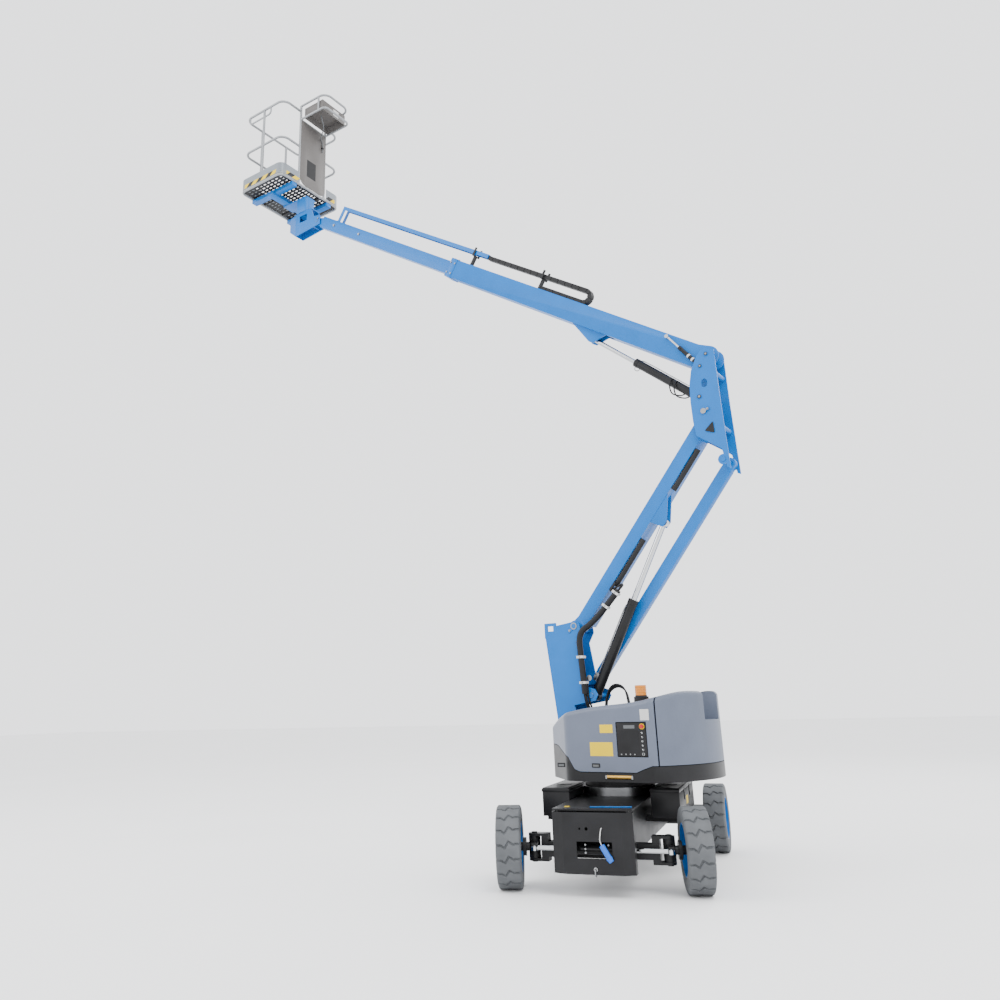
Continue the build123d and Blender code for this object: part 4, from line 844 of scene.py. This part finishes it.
def upper_gland():
    """The upper lift cylinder's gland, port block, pipe, eye and two hanging hoses."""
    end, y, radius = barrel_size("upper_lift_barrel", UPPER_LIFT)
    run, eye = radius + 0.008, -radius - 0.022
    fit = Piece("upper_gland", "upper_cylinder", UPPER_LIFT)
    fit.rod("black", (end - 0.040, y, 0), (end - 0.001, y, 0), radius + 0.002, 32)
    fit.box("steel", (0.10, y - 0.018, radius * 0.7), (0.155, y + 0.018, radius + 0.022))
    fit.hose("steel", [(0.155, y, run), (0.24, y, run), (end - 0.10, y, run),
                       (end - 0.05, y, radius * 0.8)], 0.004, 10)
    fit.hose("steel", [(end - 0.075, y, -radius + 0.004), (end - 0.060, y, eye), (end - 0.030, y, eye),
                       (end - 0.018, y, -radius + 0.004)], 0.004, 10)
    for x in (0.25, 0.30):
        loop = [(x + 0.06, y, radius * 0.9), (x + 0.055, y + radius + 0.012, radius * 0.4),
                (x + 0.035, y + radius + 0.014, -radius), (x - 0.01, y + 0.02, -radius - 0.045),
                (x - 0.075, y, -radius - 0.028), (x - 0.11, y, -radius + 0.006)]
        fit.hose("rubber", loop, 0.006, 10)
    fit.done(0.0006)


# Upper boom and nose
def boom_fittings():
    """Bolts of the wear pads at the collar, and of those on the extension."""
    fit = Piece("boom_fittings", "upper_boom", BOOM)
    for side in (1, -1):
        for x in (3.150, 3.210):
            for z in (-0.095, 0.020):
                fit.bolt((x, side * (BOOM_HALF + 0.008), z), (0, side, 0), 0.009)
    for x in (3.150, 3.210):
        for y in (-0.035, 0.035):
            fit.bolt((x, y, 0.074), (0, 0, 1), 0.009)
    fit.done()
    tip = Piece("extension_fittings", "extension", BOOM)
    for side in (1, -1):
        for x in (4.820, 5.310):
            tip.bolt((x, side * EXTENSION_HALF, -0.030), (0, side, 0), 0.015)
    tip.done()


def nose_fittings():
    """The heads of the platform's pivot pin."""
    nose = Piece("nose_fittings", "nose", NOSE)
    for side in (1, -1):
        pin_head(nose, (0, 0), side * NOSE_HALF, side, 0.021, (-0.034, 0.030))
    nose.done(0.0008)


# Platform
def rounded_rectangle(x0, x1, y0, y1, radius):
    """The closed outline of a rectangle with round corners."""
    line = []
    for x, y, start in ((x1 - radius, y1 - radius, 0), (x0 + radius, y1 - radius, 90),
                        (x0 + radius, y0 + radius, 180), (x1 - radius, y0 + radius, 270)):
        for n in range(9):
            turn = math.radians(start + n * 90 / 8)
            line.append(Vector((x + radius * math.cos(turn), y + radius * math.sin(turn), 0)))
    return line + line[:1]


def toe_stripes():
    """Slanted black and yellow stripes round the foot of the toe boards, left out at the rear panel."""
    strip = Piece("toe_stripes", "platform", TURN)
    low, high = local_box("toe_boards", TURN)
    line = rounded_rectangle(low.x - STRIPE_OUT, high.x + STRIPE_OUT, low.y - STRIPE_OUT,
                             high.y + STRIPE_OUT, TOE_CORNER)
    lengths = [0]
    for a, b in zip(line, line[1:]):
        lengths.append(lengths[-1] + (b - a).length)

    def along(s):
        s %= lengths[-1]
        for n in range(len(line) - 1):
            if s <= lengths[n + 1]:
                t = (s - lengths[n]) / max(1e-9, lengths[n + 1] - lengths[n])
                return line[n].lerp(line[n + 1], t)
        return line[-1]

    step = lengths[-1] / STRIPES
    parts = 4
    for n in range(STRIPES):
        middle = along((n + 0.5) * step + STRIPE_START)
        if middle.x < low.x + 0.01 and abs(middle.y) < PANEL_GAP:
            continue
        grid = []
        for slant in (0, STRIPE_HEIGHT / 2, STRIPE_HEIGHT):
            level = Vector((0, 0, low.z + STRIPE_RISE + slant))
            grid.append([strip.shape.verts.new(along(n * step + slant + k * step / parts) + level)
                         for k in range(parts + 1)])
        for a, b in zip(grid, grid[1:]):
            for k in range(parts):
                strip.shape.faces.new((a[k], a[k + 1], b[k + 1], b[k]))
        strip.paint_last([v for row in grid for v in row], "yellow" if n % 2 else "black")
    strip.done()


def platform_desk():
    """Two joysticks, a stop button, switches and lamps on the control box, with blank labels."""
    desk = Piece("platform_desk", "platform", TURN)
    low, high = local_box("platform_controls", TURN)
    x, y = (low.x + high.x) / 2, (low.y + high.y) / 2

    def slab(material, inset, bottom, top):
        desk.box(material, (low.x + inset, low.y + inset, high.z + bottom),
                 (high.x - inset, high.y - inset, high.z + top))

    def knob(material, dx, dy, start, end, radius, sides, tip=None):
        desk.rod(material, (x + dx, y + dy, high.z + start), (x + dx, y + dy, high.z + end), radius,
                 sides, tip)

    slab("dark", 0.012, 0, 0.003)
    slab("grey", 0.03, 0.003, 0.004)
    for side in (1, -1):
        knob("dark", 0.02, side * 0.120, 0.004, 0.020, 0.026, 28, 0.012)
        knob("dark", 0.02, side * 0.120, 0.020, 0.056, 0.008, 16, 0.013)
    knob("yellow", -0.06, 0.14, 0.004, 0.008, 0.022, 28)
    knob("red", -0.06, 0.14, 0.008, 0.030, 0.018, 28, 0.016)
    for n in range(6):
        knob("zinc", -0.07, -0.15 + n * 0.045, 0.004, 0.009, 0.008, 6)
        knob("chrome", -0.07, -0.15 + n * 0.045, 0.009, 0.026, 0.003, 10)
    for n in range(4):
        knob("green" if n < 2 else "amber", 0.07, -0.05 + n * 0.032, 0.004, 0.008, 0.006, 16)
    desk.box("white", (x - 0.02, y - 0.06, high.z + 0.004), (x + 0.05, y + 0.06, high.z + 0.0048))
    desk.box("white", (low.x - 0.0006, y - 0.09, low.z + 0.03), (low.x, y + 0.01, high.z - 0.03))
    desk.done(0.0008)


def desk_cable():
    """The cable from the control box to the rear panel, and the mesh in the panel's window."""
    cable = Piece("desk_cable", "platform", TURN)
    low, high = local_box("platform_controls", TURN)
    x, y, z = (low.x + high.x) / 2, (low.y + high.y) / 2, low.z
    wall = local_box("rear_panel", TURN)[0].x
    cable.hose("grey", [(x - 0.05, y + 0.12, z + 0.004), (x - 0.05, y + 0.10, z - 0.05),
                        (x, y + 0.02, z - 0.105), (wall - 0.03, y - 0.10, z - 0.13),
                        (wall - 0.009, y - 0.15, z - 0.16), (wall - 0.009, y - 0.155, z - 0.30)],
               0.007, 12)
    (y0, z0), (y1, z1) = WINDOW
    cable.box("dark", (wall + 0.0005, y0, FLOOR_TOP + z0), (wall + 0.0030, y1, FLOOR_TOP + z1))
    cable.box("dark", (wall - 0.020, y - 0.168, z - 0.25), (wall, y - 0.140, z - 0.23))
    cable.done()


dress_wheels()
front_fittings()
battery_fittings()
slew_bolts()
axle_fittings()
ground_panel()
cowl_fittings("near_cowl_labels", "cowl_near_body", 1,
              (("yellow", -0.259, -0.151, 1.041, 1.102), ("yellow", -0.250, -0.058, 0.874, 0.974),
               ("white", -0.564, -0.492, 1.130, 1.209)), (-0.10, 0.20))
cowl_fittings("far_cowl_labels", "cowl_far_body", -1,
              (("yellow", -0.259, -0.151, 1.041, 1.102),), (-0.30, 0.20))
beacon_base()
turntable_trim()
mast_hoses()
hose_sleeve()
arm_fittings()
lift_gland()
knuckle_pins()
levelling_fittings()
upper_gland()
boom_fittings()
nose_fittings()
toe_stripes()
platform_desk()
desk_cable()

light_border(M["floor"], RIM_COLOUR, "platform_floor", RIM_WIDTH)
for name in SOFT_EDGES:
    soften(nodes[name], SOFT_WIDTH)


# The floor and the light
LAMPS = (((6, -9, 13), 7, 1300, (-1, 0, 3)),
         ((-10, -6, 9), 6, 550, (-1, 0, 4)),
         ((4, 9, 11), 8, 600, (-1, 0, 4)))


def make_stage():
    """A pale floor, a bright sky and three soft lamps: each has a place, a size, watts and an aim."""
    mesh = bpy.data.meshes.new("floor")
    mesh.from_pydata([(-60, -60, 0), (60, -60, 0), (60, 60, 0), (-60, 60, 0)], [], [(0, 1, 2, 3)])
    floor = bpy.data.objects.new("floor", mesh)
    bpy.context.collection.objects.link(floor)
    mesh.materials.append(paint("floor", (0.90, 0.90, 0.90), 0.75, spread=0.01, scale=0.6))
    world = bpy.data.worlds.new("world")
    world.use_nodes = True
    bpy.context.scene.world = world
    background = world.node_tree.nodes["Background"]
    background.inputs["Color"].default_value = (0.97, 0.98, 1.0, 1)
    background.inputs["Strength"].default_value = 2.3
    for spot, size, power, aim in LAMPS:
        data = bpy.data.lights.new("soft", "AREA")
        data.size = size
        data.energy = power
        lamp = bpy.data.objects.new("soft", data)
        lamp.location = spot
        lamp.rotation_euler = (Vector(aim) - Vector(spot)).to_track_quat("-Z", "Y").to_euler()
        bpy.context.collection.objects.link(lamp)


make_stage()
